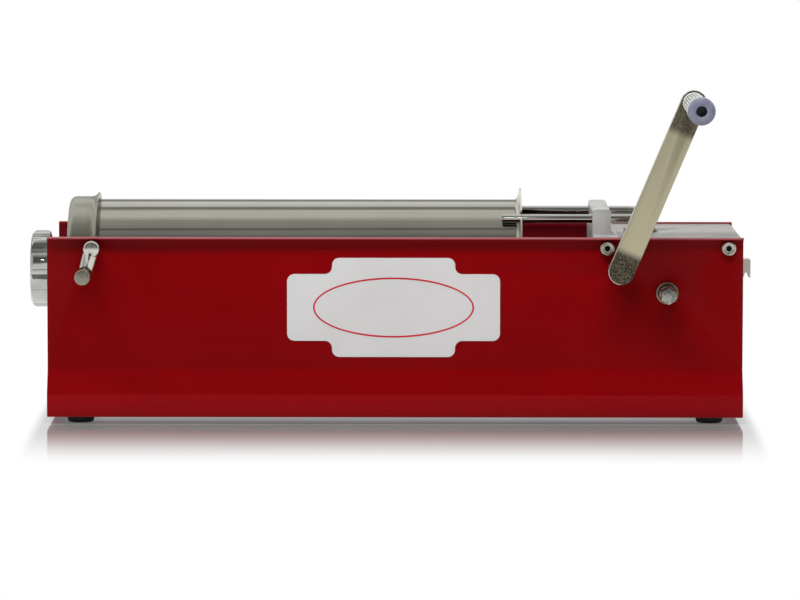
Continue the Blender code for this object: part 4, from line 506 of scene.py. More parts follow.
def copy_of(piece, name, matrix):
    """A copy with its own mesh, moved in its mesh."""
    made = bpy.data.objects.new(name, piece.data.copy())
    made.data.name = name
    bpy.context.scene.collection.objects.link(made)
    made.data.transform(matrix)
    return made


def drop(*pieces):
    """Remove pieces that served as cutters or patterns."""
    for piece in pieces:
        bpy.data.objects.remove(piece, do_unlink=True)


# The tray and what is fixed to its ends

def make_tray():
    """The painted sheet with a painted highlight along its flange edges, painted light on its lower skirt, painted
    shade over its inside, and two cross plates.
    """
    tray = refined("tray", "tray_sheet", 0.35 * MM)
    wall = WALL_FAR - MIDDLE_Y
    rim, rim_top = wall + 5.4 * MM, TRAY_HIGH.z - 0.8 * MM
    skirt, skirt_top = wall + 0.6 * SKIRT_OUT, TRAY_LOW.z + 20.4 * MM
    inner, floor = wall - 0.6 * SHEET, TRAY_LOW.z + SHEET
    # Painted highlight: a pale pink along the outer flange edges, for the light that the edge catches.
    mark_points(tray, "edge", lambda place: abs(place.y - MIDDLE_Y) > rim and place.z > rim_top, 0.8)
    # Painted light on the lower skirt, lighter than the wall above it.
    mark_points(tray, "skirt", lambda place: abs(place.y - MIDDLE_Y) > skirt and place.z < skirt_top)
    # Painted shade over the inside of the tray.
    mark_points(tray, "inside", lambda place: abs(place.y - MIDDLE_Y) < inner and place.z > floor)
    dress(tray, RED, "stand", "red_paint", "tray")
    for node, name, finish, slot in (
        ("front_cross_plate", "front_plate", RED, "red_paint"),
        ("cylinder_saddle", "saddle_plate", SHEET_STEEL, "stainless_steel"),
    ):
        dress(refined(node, name, 0.4 * MM), finish, "stand", slot, node)


def make_feet():
    """Each foot with its screw from below and its nut inside the tray."""
    first = "rubber_foot_front_near"
    radius = half(first).x
    top = high(first).z
    place = middle(first)
    recess = 3.4 * MM
    toe = 0.92 * radius
    hole = 2.8 * MM
    profile = [
        (hole, top),
        (radius, top),
        (radius, top - 1.2 * MM),
        (toe, 0.8 * MM),
        (toe - 0.6 * MM, 0),
        (6.8 * MM, 0),
        (6.2 * MM, 0.5 * MM),
        (6.0 * MM, recess),
        (hole, recess),
    ]
    foot = turned("foot", profile, "Z", (place.x, place.y), FINE_SIDES, 0.25 * MM)
    floor = TRAY_LOW.z + SHEET
    tip = floor + 7 * MM
    head = [
        (0, 0.9 * MM),
        (3.2 * MM, 0.9 * MM),
        (4.8 * MM, 1.5 * MM),
        (4.8 * MM, recess - 0.1 * MM),
        (2.45 * MM, recess - 0.1 * MM),
        (2.45 * MM, tip),
        (0, tip),
    ]
    screw = turned("foot_screw", head, "Z", (place.x, place.y), SMALL_SIDES, 0.15 * MM)
    slot_half = Vector((0.5 * MM, 6 * MM, 0))
    slot_foot = Vector((place.x, place.y, 0))
    cut_with(screw, block("slot", slot_foot - slot_half, slot_foot + slot_half + Vector((0, 0, 1.8 * MM))))
    nut = prism("foot_nut", 4.6 * MM, (floor + 0.2 * MM, floor + 4.2 * MM), "Z", (place.x, place.y))
    cut_with(nut, prism("nut_hole", 2.55 * MM, (floor, floor + 5 * MM), "Z", (place.x, place.y), 32))
    soften(nut, 0.4 * MM)
    for end in ("front", "rear"):
        for side in ("near", "far"):
            node = f"rubber_foot_{end}_{side}"
            shift = Matrix.Translation(middle(node) - place)
            dress(copy_of(foot, f"foot_{end}_{side}", shift), RUBBER, "stand", "black_rubber", node)
            dress(copy_of(screw, f"foot_screw_{end}_{side}", shift), ZINC, "stand", "zinc_steel")
            dress(copy_of(nut, f"foot_nut_{end}_{side}", shift), ZINC, "stand", "zinc_steel")
    drop(foot, screw, nut)


def make_cylinder():
    """The tube with its flared lip, its rod notches and its gasket."""
    front, rear = low("cylinder_tube").x, high("cylinder_tube").x
    lip = half("cylinder_tube").y
    outer = TUBE_OUT
    wall = 1.2 * MM
    bore = outer - wall
    lip_depth, lip_run = 6.5 * MM, 5.0 * MM
    flare = rear - lip_depth
    curve = []
    for i in range(7):
        angle = math.pi / 2 * i / 6
        curve.append((outer + (lip - outer) * (1 - math.cos(angle)), flare + lip_run * math.sin(angle)))
    profile = [
        (bore, front),
        (outer, front),
        (outer, flare),
        *curve[1:],
        (lip, rear),
        *((radius - 1.0 * MM, along + wall) for radius, along in reversed(curve[2:-1])),
        (bore, flare + wall),
    ]
    tube = turned("stuffing_tube", profile, "X", TUBE_AXIS, TUBE_SIDES, 0.15 * MM)
    rod = middle("locking_rods")
    span = (flare - 2 * MM, rear + 2 * MM)
    for y in (low("locking_rods").y + ROD_RADIUS, high("locking_rods").y - ROD_RADIUS):
        out = Vector((y - TUBE_AXIS[0], rod.z - TUBE_AXIS[1])).normalized() * 2.6 * MM
        for step in range(5):
            place = (y + out.x * step, rod.z + out.y * step)
            cut_with(tube, prism("rod_notch", 4.4 * MM, span, "X", place, SMALL_SIDES))
    soften(tube, 0.0)
    # Painted highlight: the flared lip gets a pale cream colour for the light that it catches.
    mark_points(tube, "flare", lambda place: math.dist(TUBE_AXIS, (place.y, place.z)) > outer + 0.5 * MM)
    dress(tube, TUBE_STEEL, "stand", "stainless_steel", "cylinder_tube")
    ring = half("head_gasket").y
    profile = sleeve(ring - 5 * MM, ring, low("head_gasket").x, high("head_gasket").x)
    gasket = turned("front_gasket", profile, "X", TUBE_AXIS, SIDES, 0.3 * MM)
    dress(gasket, SEAL, "stand", "seal_rubber", "head_gasket")


# The outlet's bore and the radius of its neck, which the ring nut turns on
OUTLET = 19 * MM
NECK = 27 * MM


def make_head():
    """The head with its rounded shoulder, flared rim, neck and two ears."""
    neck = low("front_head").x
    front = neck + 31 * MM
    rear = front + 26.5 * MM
    inside = front + 3 * MM
    ears = (low("front_head").y, high("front_head").y)
    ear = 23 * MM
    tube = TUBE_OUT + GAP
    radius = tube + 2 * MM
    shoulder = 6 * MM
    arc = []
    for i in range(9):
        angle = math.pi / 2 * i / 8
        arc.append((radius - shoulder + shoulder * math.sin(angle), front + shoulder * (1 - math.cos(angle))))
    profile = [
        (OUTLET, neck),
        (NECK, neck),
        (NECK, front - 1.5 * MM),
        (28.5 * MM, front),
        *arc,
        (radius, rear - 7 * MM),
        (radius + 0.35 * MM, rear - 5.2 * MM),
        (radius + 1.0 * MM, rear - 3.6 * MM),
        (radius + 2.1 * MM, rear - 2.2 * MM),
        (radius + 3.3 * MM, rear - 1.2 * MM),
        (radius + 3.7 * MM, rear - 0.7 * MM),
        (radius + 3.7 * MM, rear),
        (tube, rear),
        (tube, inside),
        (OUTLET, inside),
    ]
    head = turned("cylinder_head", profile, "X", TUBE_AXIS, TUBE_SIDES, 0.12 * MM)
    for span in ((ears[0], ears[0] + ear), (ears[1] - ear, ears[1])):
        join_with(head, prism("ear", 9.5 * MM, span, "Y", PIVOT_AXIS, FINE_SIDES))
    cut_with(head, prism("tube_room", tube, (inside, rear + 20 * MM), "X", TUBE_AXIS, TUBE_SIDES))
    for span in ((ears[0] - MM, ears[0] + 10 * MM), (ears[1] - 10 * MM, ears[1] + MM)):
        cut_with(head, prism("pivot_hole", PIN_HOLE, span, "Y", PIVOT_AXIS, SMALL_SIDES))
    soften(head, 0.0)
    dress(head, HEAD_METAL, "stand", "stainless_steel", "front_head")


def make_ring_nut():
    """Round lobes about a core, cut back to a turned outline."""
    front, rear = low("ring_nut").x, high("ring_nut").x
    radius = half("ring_nut").z
    lobes = 10
    lobe = 10.6 * MM
    nut = prism("nut_core", radius - 2.4 * MM, (front, rear), "X", TUBE_AXIS, SIDES)
    for i in range(lobes):
        angle = 2 * math.pi * (i + 0.5) / lobes
        reach = radius - lobe
        place = (TUBE_AXIS[0] + reach * math.cos(angle), TUBE_AXIS[1] + reach * math.sin(angle))
        join_with(nut, prism("lobe", lobe, (front, rear), "X", place, FINE_SIDES))
    envelope = turned(
        "nut_outline",
        [
            (0, front),
            (radius - 4.4 * MM, front),
            (radius - 3.2 * MM, front + 0.5 * MM),
            (radius - 1.0 * MM, front + 2.2 * MM),
            (radius, front + 4.0 * MM),
            (radius, rear - 1.6 * MM),
            (radius - 1.2 * MM, rear),
            (0, rear),
        ],
        "X", TUBE_AXIS,
    )
    join_with(nut, envelope, "INTERSECT")
    lip = low("front_head").x - GAP
    mouth, thread = 21.5 * MM, NECK + GAP
    behind, ahead = rear + MM, front - MM
    profile = [(0, behind), (thread, behind), (thread, lip), (mouth, lip), (mouth, ahead), (0, ahead)]
    cut_with(nut, turned("nut_bore", profile, "X", TUBE_AXIS))
    nut.name = "scalloped_nut"
    soften(nut, 0.35 * MM)
    dress(nut, NUT_METAL, "nut", "polished_aluminium", "ring_nut")


LEVER_FLATNESS = 0.78


def make_pivots():
    """The clamp lever with its knob, the far screw and the two bushes."""
    for side, sign in (("near", -1), ("far", 1)):
        node = f"pivot_bush_{side}"
        outer = WALL_NEAR if sign < 0 else WALL_FAR
        inner = outer - sign * 2 * SHEET
        step = outer - sign * (SHEET + GAP)
        shank, flange = 7 * MM, 9 * MM
        profile = [
            (PIN_HOLE, outer),
            (shank, outer),
            (shank, step),
            (flange, step),
            (flange, inner),
            (PIN_HOLE, inner),
        ]
        bush = turned(f"pivot_collar_{side}", profile, "Y", PIVOT_AXIS, FINE_SIDES, 0.2 * MM)
        dress(bush, BRONZE, "stand", "bronze", node)

    near = WALL_NEAR - GAP
    hub_front = near - 17.5 * MM
    hub, groove = 7.4 * MM, 6.9 * MM
    lever = turned(
        "clamp_lever",
        [
            (0, high("pivot_lever").y),
            (5 * MM, high("pivot_lever").y),
            (5 * MM, near),
            (hub, near),
            (hub, near - 3 * MM),
            (groove, near - 3.6 * MM),
            (groove, near - 5.0 * MM),
            (hub, near - 5.6 * MM),
            (hub, hub_front + 2.2 * MM),
            (6.4 * MM, hub_front + 0.7 * MM),
            (5.0 * MM, hub_front),
            (0, hub_front),
        ],
        "Y", PIVOT_AXIS, SIDES, 0.2 * MM,
    )
    arm_y = hub_front + 5.8 * MM
    foot = Vector((middle("lever_knob").x + 2 * MM, arm_y, middle("lever_knob").z))
    root = Vector((PIVOT_AXIS[0], arm_y, PIVOT_AXIS[1]))
    length = (foot - root).length
    lean = math.atan2(root.x - foot.x, root.z - foot.z)
    arm = turned(
        "lever_arm",
        [
            (0, 0),
            (6.9 * MM, 0),
            (6.9 * MM, -0.25 * length),
            (6.8 * MM, -0.5 * length),
            (6.7 * MM, -0.7 * length),
            (6.6 * MM, -0.9 * length),
            (6.5 * MM, -length),
            (0, -length),
        ],
        "Z", (0, 0), FINE_SIDES,
    )
    pick(arm)
    arm.rotation_euler = (0, lean, 0)
    arm.location = root
    arm.scale = (1, LEVER_FLATNESS, 1)
    bpy.ops.object.transform_apply(location=True, rotation=True, scale=True)
    join_with(lever, arm)
    pad = (high("lever_knob").y + GAP, arm_y + 4.8 * MM)
    join_with(lever, prism("lever_pad", 6.5 * MM, pad, "Y", (foot.x, foot.z), FINE_SIDES))
    soften(lever, 0.3 * MM)
    dress(lever, CHROME, "lever", "chrome", "pivot_lever")

    back, front = high("lever_knob").y, low("lever_knob").y
    knob = turned(
        "clamp_knob",
        [
            (0, back),
            (7 * MM, back),
            (7 * MM, back - 3 * MM),
            (5.6 * MM, back - 6 * MM),
            (5.2 * MM, back - 10 * MM),
            (5.8 * MM, back - 16 * MM),
            (6.8 * MM, back - 21 * MM),
            (7 * MM, back - 25 * MM),
            (7 * MM, front + 1.2 * MM),
            (6.1 * MM, front),
            (0, front),
        ],
        "Y", (foot.x, foot.z), SIDES, 0.25 * MM,
    )
    dress(knob, KNOB_METAL, "lever", "chrome", "lever_knob")

    outer = WALL_FAR + GAP
    profile = sleeve(0, 5 * MM, outer, low("far_pivot_screw").y)
    screw = turned("pivot_screw_far", profile, "Y", PIVOT_AXIS, FINE_SIDES, 0.2 * MM)
    head = prism("hexagon", 7.4 * MM, (outer - 0.1 * MM, high("far_pivot_screw").y), "Y", PIVOT_AXIS)
    join_with(screw, soften(head, 0.5 * MM))
    soften(screw, 0.0)
    dress(screw, ZINC, "stand", "zinc_steel", "far_pivot_screw")


# The piston, the rack and the locking rods

def make_carriage():
    """The piston with its seal, washer and bolt, and the rack."""
    front, rear = low("piston").x, high("piston").x
    radius = half("piston").y
    seal = (low("piston_seal").x, high("piston_seal").x)
    ring = half("piston_seal").y
    groove = ring - 5 * MM
    rack_hole, rack_seat = 13.5 * MM, front + 9 * MM
    piston = turned(
        "pushing_disc",
        [
            (rack_hole, front),
            (radius - 1.5 * MM, front),
            (radius - 0.4 * MM, front + 0.5 * MM),
            (radius, front + 1.6 * MM),
            (radius, seal[0] - GAP),
            (groove, seal[0] - GAP),
            (groove, seal[1] + GAP),
            (radius, seal[1] + GAP),
            (radius, rear - MM),
            (radius - MM, rear),
            (PIN_HOLE, rear),
            (PIN_HOLE, rack_seat),
            (rack_hole, rack_seat),
        ],
        "X", TUBE_AXIS, 128, 0.15 * MM,
    )
    dress(piston, WHITE, "carriage", "white_plastic", "piston")
    band = turned(
        "disc_seal",
        [
            (groove + GAP, seal[0]),
            (ring - 1.2 * MM, seal[0]),
            (ring, seal[0] + 1.2 * MM),
            (ring - 0.6 * MM, (seal[0] + seal[1]) / 2),
            (ring, seal[1] - 1.2 * MM),
            (ring - 1.2 * MM, seal[1]),
            (groove + GAP, seal[1]),
        ],
        "X", TUBE_AXIS, 128, 0.2 * MM,
    )
    dress(band, SEAL, "carriage", "seal_rubber", "piston_seal")
    profile = sleeve(PIN_HOLE, 12 * MM, low("piston_washer").x, high("piston_washer").x)
    washer = turned("disc_washer", profile, "X", TUBE_AXIS, FINE_SIDES, 0.25 * MM)
    dress(washer, SHEET_STEEL, "carriage", "stainless_steel", "piston_washer")
    tip, tail = low("piston_bolt").x, high("piston_bolt").x
    bolt = turned("disc_bolt", sleeve(0, 5 * MM, tip + 5.9 * MM, tail), "X", TUBE_AXIS, SMALL_SIDES, 0.3 * MM)
    head = prism("hexagon", 9 * MM, (tip, tip + 6 * MM), "X", TUBE_AXIS)
    join_with(bolt, soften(head, 0.6 * MM))
    soften(bolt, 0.0)
    dress(bolt, SHEET_STEEL, "carriage", "stainless_steel", "piston_bolt")
    rack = refined("rack", "toothed_rack", 0.25 * MM, 1)
    dress(rack, ZINC, "carriage", "zinc_steel", "rack")


def make_rods():
    """One round bar bent into a U, with chamfered ends, and its two bushes."""
    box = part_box("locking_rods")
    z = middle("locking_rods").z
    bend = 16 * MM
    legs = (box[0].y + ROD_RADIUS, box[1].y - ROD_RADIUS)
    back = box[1].x - ROD_RADIUS
    line = bpy.data.curves.new("rod_line", "CURVE")
    line.dimensions = "3D"
    line.bevel_depth = ROD_RADIUS
    line.bevel_resolution = 10
    line.use_fill_caps = True
    points = [(box[0].x, legs[0])]
    for start, y in ((-math.pi / 2, legs[0] + bend), (0, legs[1] - bend)):
        for i in range(17):
            angle = start + math.pi / 2 * i / 16
            points.append((back - bend + bend * math.cos(angle), y + bend * math.sin(angle)))
    points.append((box[0].x, legs[1]))
    spline = line.splines.new("POLY")
    spline.points.add(len(points) - 1)
    for point, (x, y) in zip(spline.points, points):
        point.co = (x, y, z, 1)
    bar = bpy.data.objects.new("locking_bar", line)
    bpy.context.scene.collection.objects.link(bar)
    pick(bar)
    bpy.ops.object.convert(target="MESH")
    bar = bpy.context.active_object
    close_up()
    soften(bar, 0.9 * MM, 2, math.radians(60))
    dress(bar, ROD_STEEL, "rods", "stainless_steel", "locking_rods")
    for side, y in zip(("near", "far"), legs):
        node = f"rod_bush_{side}"
        profile = sleeve(ROD_RADIUS + GAP, 5.5 * MM, low(node).x, high(node).x)
        bush = turned(f"rod_sleeve_{side}", profile, "X", (y, z), FINE_SIDES, 0.2 * MM)
        dress(bush, BRONZE, "stand", "bronze", node)


# The gearbox

def make_gearbox():
    """The two cross bars, the inner frame and the cover."""
    for node, name, material, slot, edge in (
        ("front_bulkhead", "cross_bar", CAST, "cast_aluminium", 0.7 * MM),
        ("rear_bulkhead", "rear_cross_bar", CAST, "cast_aluminium", 0.5 * MM),
        ("near_bearing_plate", "bearing_plate_near", CAST, "cast_aluminium", 0.4 * MM),
        ("far_bearing_plate", "bearing_plate_far", CAST, "cast_aluminium", 0.4 * MM),
        ("tie_bar", "plate_tie", CAST, "cast_aluminium", 0.4 * MM),
        ("gearbox_cover", "cover_sheet", SHEET_STEEL, "stainless_steel", 0.3 * MM),
    ):
        dress(refined(node, name, edge), material, "stand", slot, node)


def make_shafts():
    """The drive shaft, gears, clips, pins, roller and all bushes."""
    for node, name, body, material, edge in (
        ("drive_shaft", "slow_shaft", "drive", WORN_STEEL, 0.6 * MM),
        ("large_gear", "gear_wheel", "drive", ZINC, 0.25 * MM),
        ("gear_key", "wheel_key", "drive", ZINC, 0.25 * MM),
        ("crank_shaft", "fast_shaft", "crank", WORN_STEEL, 0.3 * MM),
        ("crank_pinion", "fast_pinion", "crank", ZINC, 0.25 * MM),
        ("pinion_pin", "cross_pin", "crank", ZINC, 0.25 * MM),
    ):
        dress(refined(node, name, edge), material, body, "zinc_steel", node)
    for node, name, body, axis in (
        ("drive_shaft_clip_near", "slow_clip_near", "drive", DRIVE_AXIS),
        ("drive_shaft_clip_far", "slow_clip_far", "drive", DRIVE_AXIS),
        ("crank_shaft_clip", "fast_clip", "crank", CRANK_AXIS),
    ):
        outer = half(node).x
        profile = sleeve(outer - 2.3 * MM, outer, low(node).y, high(node).y)
        ring = turned(name, profile, "Y", axis, FINE_SIDES, 0.15 * MM)
        dress(ring, ZINC, body, "zinc_steel", node)
    pin_radius = 4 * MM
    at = (middle("rack_roller").x, middle("rack_roller").z)
    for node, name, body, inner, outer, sides in (
        ("rack_roller", "guide_roller", "roller", pin_radius + GAP, 8 * MM, FINE_SIDES),
        ("roller_pin", "guide_pin", "stand", 0, pin_radius, SMALL_SIDES),
    ):
        profile = sleeve(inner, outer, low(node).y, high(node).y)
        dress(turned(name, profile, "Y", at, sides, 0.4 * MM), ZINC, body, "zinc_steel", node)
    for node, name, bore, axis in (
        ("crank_shaft_wall_bush", "fast_bush_wall", 8.3 * MM, CRANK_AXIS),
        ("crank_shaft_plate_bush", "fast_bush_plate", 6.3 * MM, CRANK_AXIS),
        ("drive_shaft_wall_bush_near", "slow_bush_wall_near", 7.8 * MM, DRIVE_AXIS),
        ("drive_shaft_wall_bush_far", "slow_bush_wall_far", 7.8 * MM, DRIVE_AXIS),
        ("drive_shaft_plate_bush_near", "slow_bush_plate_near", 7.8 * MM, DRIVE_AXIS),
        ("drive_shaft_plate_bush_far", "slow_bush_plate_far", 7.8 * MM, DRIVE_AXIS),
    ):
        face, back = low(node).y, high(node).y
        step = face + 2 * MM
        if middle(node).y > MIDDLE_Y:
            face, back = back, face
            step = face - 2 * MM
        wall, flange = bore + 1.2 * MM, bore + 2.2 * MM
        profile = [(bore, face), (flange, face), (flange, step), (wall, step), (wall, back), (bore, back)]
        bush = turned(name, profile, "Y", axis, FINE_SIDES, 0.25 * MM)
        dress(bush, BRONZE, "stand", "bronze", node)


def socket_screw(name, shank, length, head, height):
    """A socket-headed screw with its head's underside at zero, pointing down along local Z."""
    dish = height - 0.45 * MM
    screw = turned(
        name,
        [
            (0, dish - 0.25 * MM),
            (0.62 * head, dish),
            (0.72 * head, height),
            (0.86 * head, height),
            (head, height - 0.9 * MM),
            (head, 0),
            (shank, 0),
            (shank, -length + 0.6 * MM),
            (shank - 0.6 * MM, -length),
            (0, -length),
        ],
        "Z", (0, 0), FINE_SIDES, 0.1 * MM,
    )
    reach = 0.72 * shank
    wall = reach * 1.01
    cut_with(screw, prism("socket", reach, (height * 0.3, height * 2), "Z", (0, 0)))
    soften(screw, 0.0)
    # Painted shade over the socket's walls and floor.
    deep = dish * 0.8
    mark_points(screw, "recess", lambda place: math.hypot(place.x, place.y) <= wall and 0 < place.z < deep)
    return screw


# How a screw that points down is turned to enter each side
FACE_NEAR = Matrix.Rotation(math.pi / 2, 4, "X")
FACE_FAR = Matrix.Rotation(-math.pi / 2, 4, "X")
FACE_UP = Matrix.Identity(4)
FACE_REAR = Matrix.Rotation(math.pi / 2, 4, "Y")
FACE_FRONT = Matrix.Rotation(-math.pi / 2, 4, "Y")


def make_screws():
    """The tray's side screws, the cover's screws and the gearbox's small ones."""
    large = socket_screw("screw_m8", 4 * MM, 18 * MM, 6.5 * MM, 4.6 * MM)
    for end in ("front", "rear"):
        for side, turn, wall in (("near", FACE_NEAR, WALL_NEAR - GAP), ("far", FACE_FAR, WALL_FAR + GAP)):
            node = f"bulkhead_screw_{end}_{side}"
            place = Vector((middle(node).x, wall, middle(node).z))
            made = copy_of(large, f"side_screw_{end}_{side}", Matrix.Translation(place) @ turn)
            dress(made, ZINC, "stand", "zinc_steel", node)
    cover_head = 2.4 * MM
    medium = socket_screw("screw_m5", 2.5 * MM, 7 * MM, 4.6 * MM, cover_head)
    for end in ("front", "rear"):
        node = f"cover_screw_{end}"
        place = Vector((middle(node).x, middle(node).y, high(node).z - cover_head))
        made = copy_of(medium, f"top_screw_{end}", Matrix.Translation(place) @ FACE_UP)
        dress(made, ZINC, "stand", "zinc_steel", node)
    small = socket_screw("screw_m4", 2 * MM, 14 * MM, 3.5 * MM, 2.2 * MM)
    near, far = low("near_bearing_plate"), high("far_bearing_plate")
    tie = middle("tie_bar")
    plate_y = (middle("near_bearing_plate").y, middle("far_bearing_plate").y)
    low_z, high_z = near.z + 8 * MM, near.z + 46 * MM
    front_face, rear_face = near.x - 7.3 * MM, high("rear_bulkhead").x - 13.5 * MM
    places = []
    for x in (tie.x - 5.5 * MM, tie.x + 5.5 * MM):
        places.append((f"tie_screw_near_{len(places)}", (x, near.y - GAP, tie.z), FACE_NEAR))
        places.append((f"tie_screw_far_{len(places)}", (x, far.y + GAP, tie.z), FACE_FAR))
    for y in plate_y:
        places.append((f"plate_screw_{len(places)}", (front_face - GAP, y, low_z), FACE_FRONT))
        for z in (low_z, high_z):
            places.append((f"plate_screw_{len(places)}", (rear_face + GAP, y, z), FACE_REAR))
    for name, place, turn in places:
        made = copy_of(small, name, Matrix.Translation(place) @ turn)
        dress(made, ZINC, "stand", "zinc_steel")
    drop(large, medium, small)


# The crank

CRANK_LENGTH = math.dist(CRANK_AXIS, GRIP_AXIS)
CRANK_LEAN = math.atan2(GRIP_AXIS[0] - CRANK_AXIS[0], GRIP_AXIS[1] - CRANK_AXIS[1])
TARNISH_FOOT = 13 * MM
TARNISH_TOP = CRANK_LENGTH - 34 * MM
TARNISH_FADE = 9 * MM
TARNISH_TOP_SHARE = 0.84


def make_crank():
    """The bar, a round disc whose upper half is drawn out to the grip, and the socket behind its foot."""
    front, back = low("crank_arm").y, high("crank_arm").y
    radius = 11.6 * MM
    deselect()
    # Turned by half a side, so that no point lies on the line between the two halves
    bpy.ops.mesh.primitive_circle_add(
        vertices=72, radius=radius, fill_type="NGON", rotation=(0, 0, math.radians(2.5)),
    )
    bar = named("crank_bar")
    bpy.ops.object.transform_apply(location=True, rotation=True, scale=True)
    bpy.ops.object.mode_set(mode="EDIT")
    bpy.ops.mesh.select_mode(type="VERT")
    bpy.ops.mesh.select_all(action="DESELECT")
    bpy.ops.object.mode_set(mode="OBJECT")
    for vertex in bar.data.vertices:
        vertex.select = vertex.co.y > 0
    bpy.ops.object.mode_set(mode="EDIT")
    bpy.ops.transform.translate(value=(0, CRANK_LENGTH, 0))
    bpy.ops.mesh.select_all(action="SELECT")
    bpy.ops.mesh.extrude_region_move(TRANSFORM_OT_translate={"value": (0, 0, back - front)})
    bpy.ops.mesh.select_all(action="SELECT")
    bpy.ops.mesh.normals_make_consistent(inside=False)
    bpy.ops.object.mode_set(mode="OBJECT")
    upright = Matrix.Rotation(math.pi / 2, 4, "X")
    lean = Matrix.Rotation(CRANK_LEAN, 4, "Y")
    bar.data.transform(Matrix.Translation((CRANK_AXIS[0], back, CRANK_AXIS[1])) @ lean @ upright)
    cut_with(bar, prism("grip_hole", PIN_HOLE, (front - MM, back + MM), "Y", GRIP_AXIS, SMALL_SIDES))
    soften(bar, 0.8 * MM)
    left = Vector((-math.cos(CRANK_LEAN), math.sin(CRANK_LEAN)))
    # Painted highlight on the left part of the front edge's bevel.
    mark_points(
        bar, "painted_edge_highlight",
        lambda place: front + 0.05 * MM < place.y < front + 0.9 * MM
        and left.dot((place.x - CRANK_AXIS[0], place.z - CRANK_AXIS[1])) > -0.35 * radius,
    )
    dress(bar, crank_material(), "crank", "bright_bar", "crank_arm")

    near, far = low("crank_socket").y, high("crank_socket").y
    socket = turned("crank_boss", sleeve(0, 11 * MM, near, far), "Y", CRANK_AXIS, FINE_SIDES, 0.5 * MM)
    hexagon = prism("hexagon", 8.1 * MM, (near - MM, far + MM), "Y", CRANK_AXIS, 6, math.pi / 2)
    cut_with(socket, hexagon)
    soften(socket, 0.2 * MM, 1)
    dress(socket, ZINC, "crank", "zinc_steel", "crank_socket")


FLUTES = 24


def make_grip():
    """The fluted sleeve, its cap, and the bolt and nut that it turns on."""
    back, front = high("crank_grip").y, low("crank_grip").y
    first, last = back - 3 * MM, front + 3 * MM
    slim, stout = 9.2 * MM, 11.2 * MM
    profile = [
        (PIN_HOLE, back),
        (9.3 * MM, back),
        (9.7 * MM, back - 0.5 * MM),
        (9.7 * MM, back - 2 * MM),
        (slim, back - 2.6 * MM),
        (slim, first),
        (stout, last),
        (stout, front + 2.6 * MM),
        (12 * MM, front + 2.0 * MM),
        (12 * MM, front),
        (PIN_HOLE, front),
    ]
    grip = turned("fluted_sleeve", profile, "Y", GRIP_AXIS)
    length = first - last
    slope = math.atan2(stout - slim, length)
    flute = prism("flute", 0.95 * MM, (-length + MM, -MM), "Y", (0, 0), 14)
    flute.data.transform(Matrix.Translation((0, 0, slim)) @ Matrix.Rotation(-slope, 4, "X"))
    start = Matrix.Translation((GRIP_AXIS[0], first, GRIP_AXIS[1]))
    flutes = []
    for i in range(FLUTES):
        turn = Matrix.Rotation(2 * math.pi * i / FLUTES, 4, "Y")
        flutes.append(copy_of(flute, f"flute_{i}", start @ turn))
    drop(flute)
    pick(flutes[0])
    for other in flutes[1:]:
        other.select_set(True)
    bpy.ops.object.join()
    cut_with(grip, flutes[0])
    soften(grip, 0.15 * MM, 1)

    def in_flute(place):
        """Whether a point lies in a flute and not in the bore."""
        surface = slim + (stout - slim) * (first - place.y) / length
        reach = math.dist(GRIP_AXIS, (place.x, place.z))
        return last < place.y < first and slim - 2 * MM < reach < surface - 0.35 * MM

    # Painted shade: the flutes are darkened for the shade that falls in them.
    mark_points(grip, "flute", in_flute)
    dress(grip, WHITE, "grip", "white_plastic", "crank_grip")

    back, front = high("grip_end_cap").y, low("grip_end_cap").y
    radius = half("grip_end_cap").z
    hollow = back - 7 * MM
    dome = []
    crown, deep = radius - 5.8 * MM, 3.5 * MM
    for i in range(19):
        angle = math.pi / 2 * i / 18
        ring = 0.015 * MM if i % 2 and i < 17 else 0.0
        reach = radius - crown * (1 - math.cos(angle)) - ring
        dome.append((reach, front + deep * (1 - math.sin(angle)) + ring))
    cap = turned(
        "grip_cap",
        [
            (9.5 * MM, back),
            (radius, back),
            *dome,
            (5.0 * MM, front + 0.5 * MM),
            (4.7 * MM, front + 1.3 * MM),
            (4.5 * MM, front + 2.6 * MM),
            (4.5 * MM, hollow),
            (9.5 * MM, hollow),
        ],
        "Y", GRIP_AXIS, SIDES, 0.15 * MM,
    )
    dress(cap, CAP, "grip", "cap_plastic", "grip_end_cap")

    tip, tail = low("grip_bolt").y, high("grip_bolt").y
    head, shank, under = 8.5 * MM, 5 * MM, tip + 5 * MM
    profile = [
        (0, tip),
        (head - 0.5 * MM, tip),
        (head, tip + 0.6 * MM),
        (head, under),
        (shank, under),
        (shank, tail),
        (0, tail),
    ]
    bolt = turned("grip_spindle", profile, "Y", GRIP_AXIS, FINE_SIDES, 0.2 * MM)
    cut_with(bolt, prism("socket", 3.4 * MM, (tip - MM, tip + 3 * MM), "Y", GRIP_AXIS))
    soften(bolt, 0.0)
    # The spindle is near black as painted shade inside the cap's hole.
    dress(bolt, SPINDLE_SHADE, "crank", "zinc_steel", "grip_bolt")
    near, far = low("grip_nut").y, high("grip_nut").y
    nut = prism("spindle_nut", 9.24 * MM, (near, far), "Y", GRIP_AXIS)
    cut_with(nut, prism("nut_hole", PIN_HOLE, (near - MM, far + MM), "Y", GRIP_AXIS, SMALL_SIDES))
    soften(nut, 0.6 * MM)
    dress(nut, ZINC, "crank", "zinc_steel", "grip_nut")


# The plain label

def rounded_outline(points, radius):
    """A closed outline with every corner rounded."""
    steps = 8
    made = []
    count = len(points)
    for i in range(count):
        here = Vector(points[i])
        back = (Vector(points[i - 1]) - here).normalized()
        ahead = (Vector(points[(i + 1) % count]) - here).normalized()
        corner = back.angle(ahead)
        centre = here + (back + ahead).normalized() * radius / math.sin(corner / 2)
        reach = radius / math.tan(corner / 2)
        first = here + back * reach - centre
        last = here + ahead * reach - centre
        for step in range(steps + 1):
            made.append(centre + first.lerp(last, step / steps).normalized() * radius)
    return made


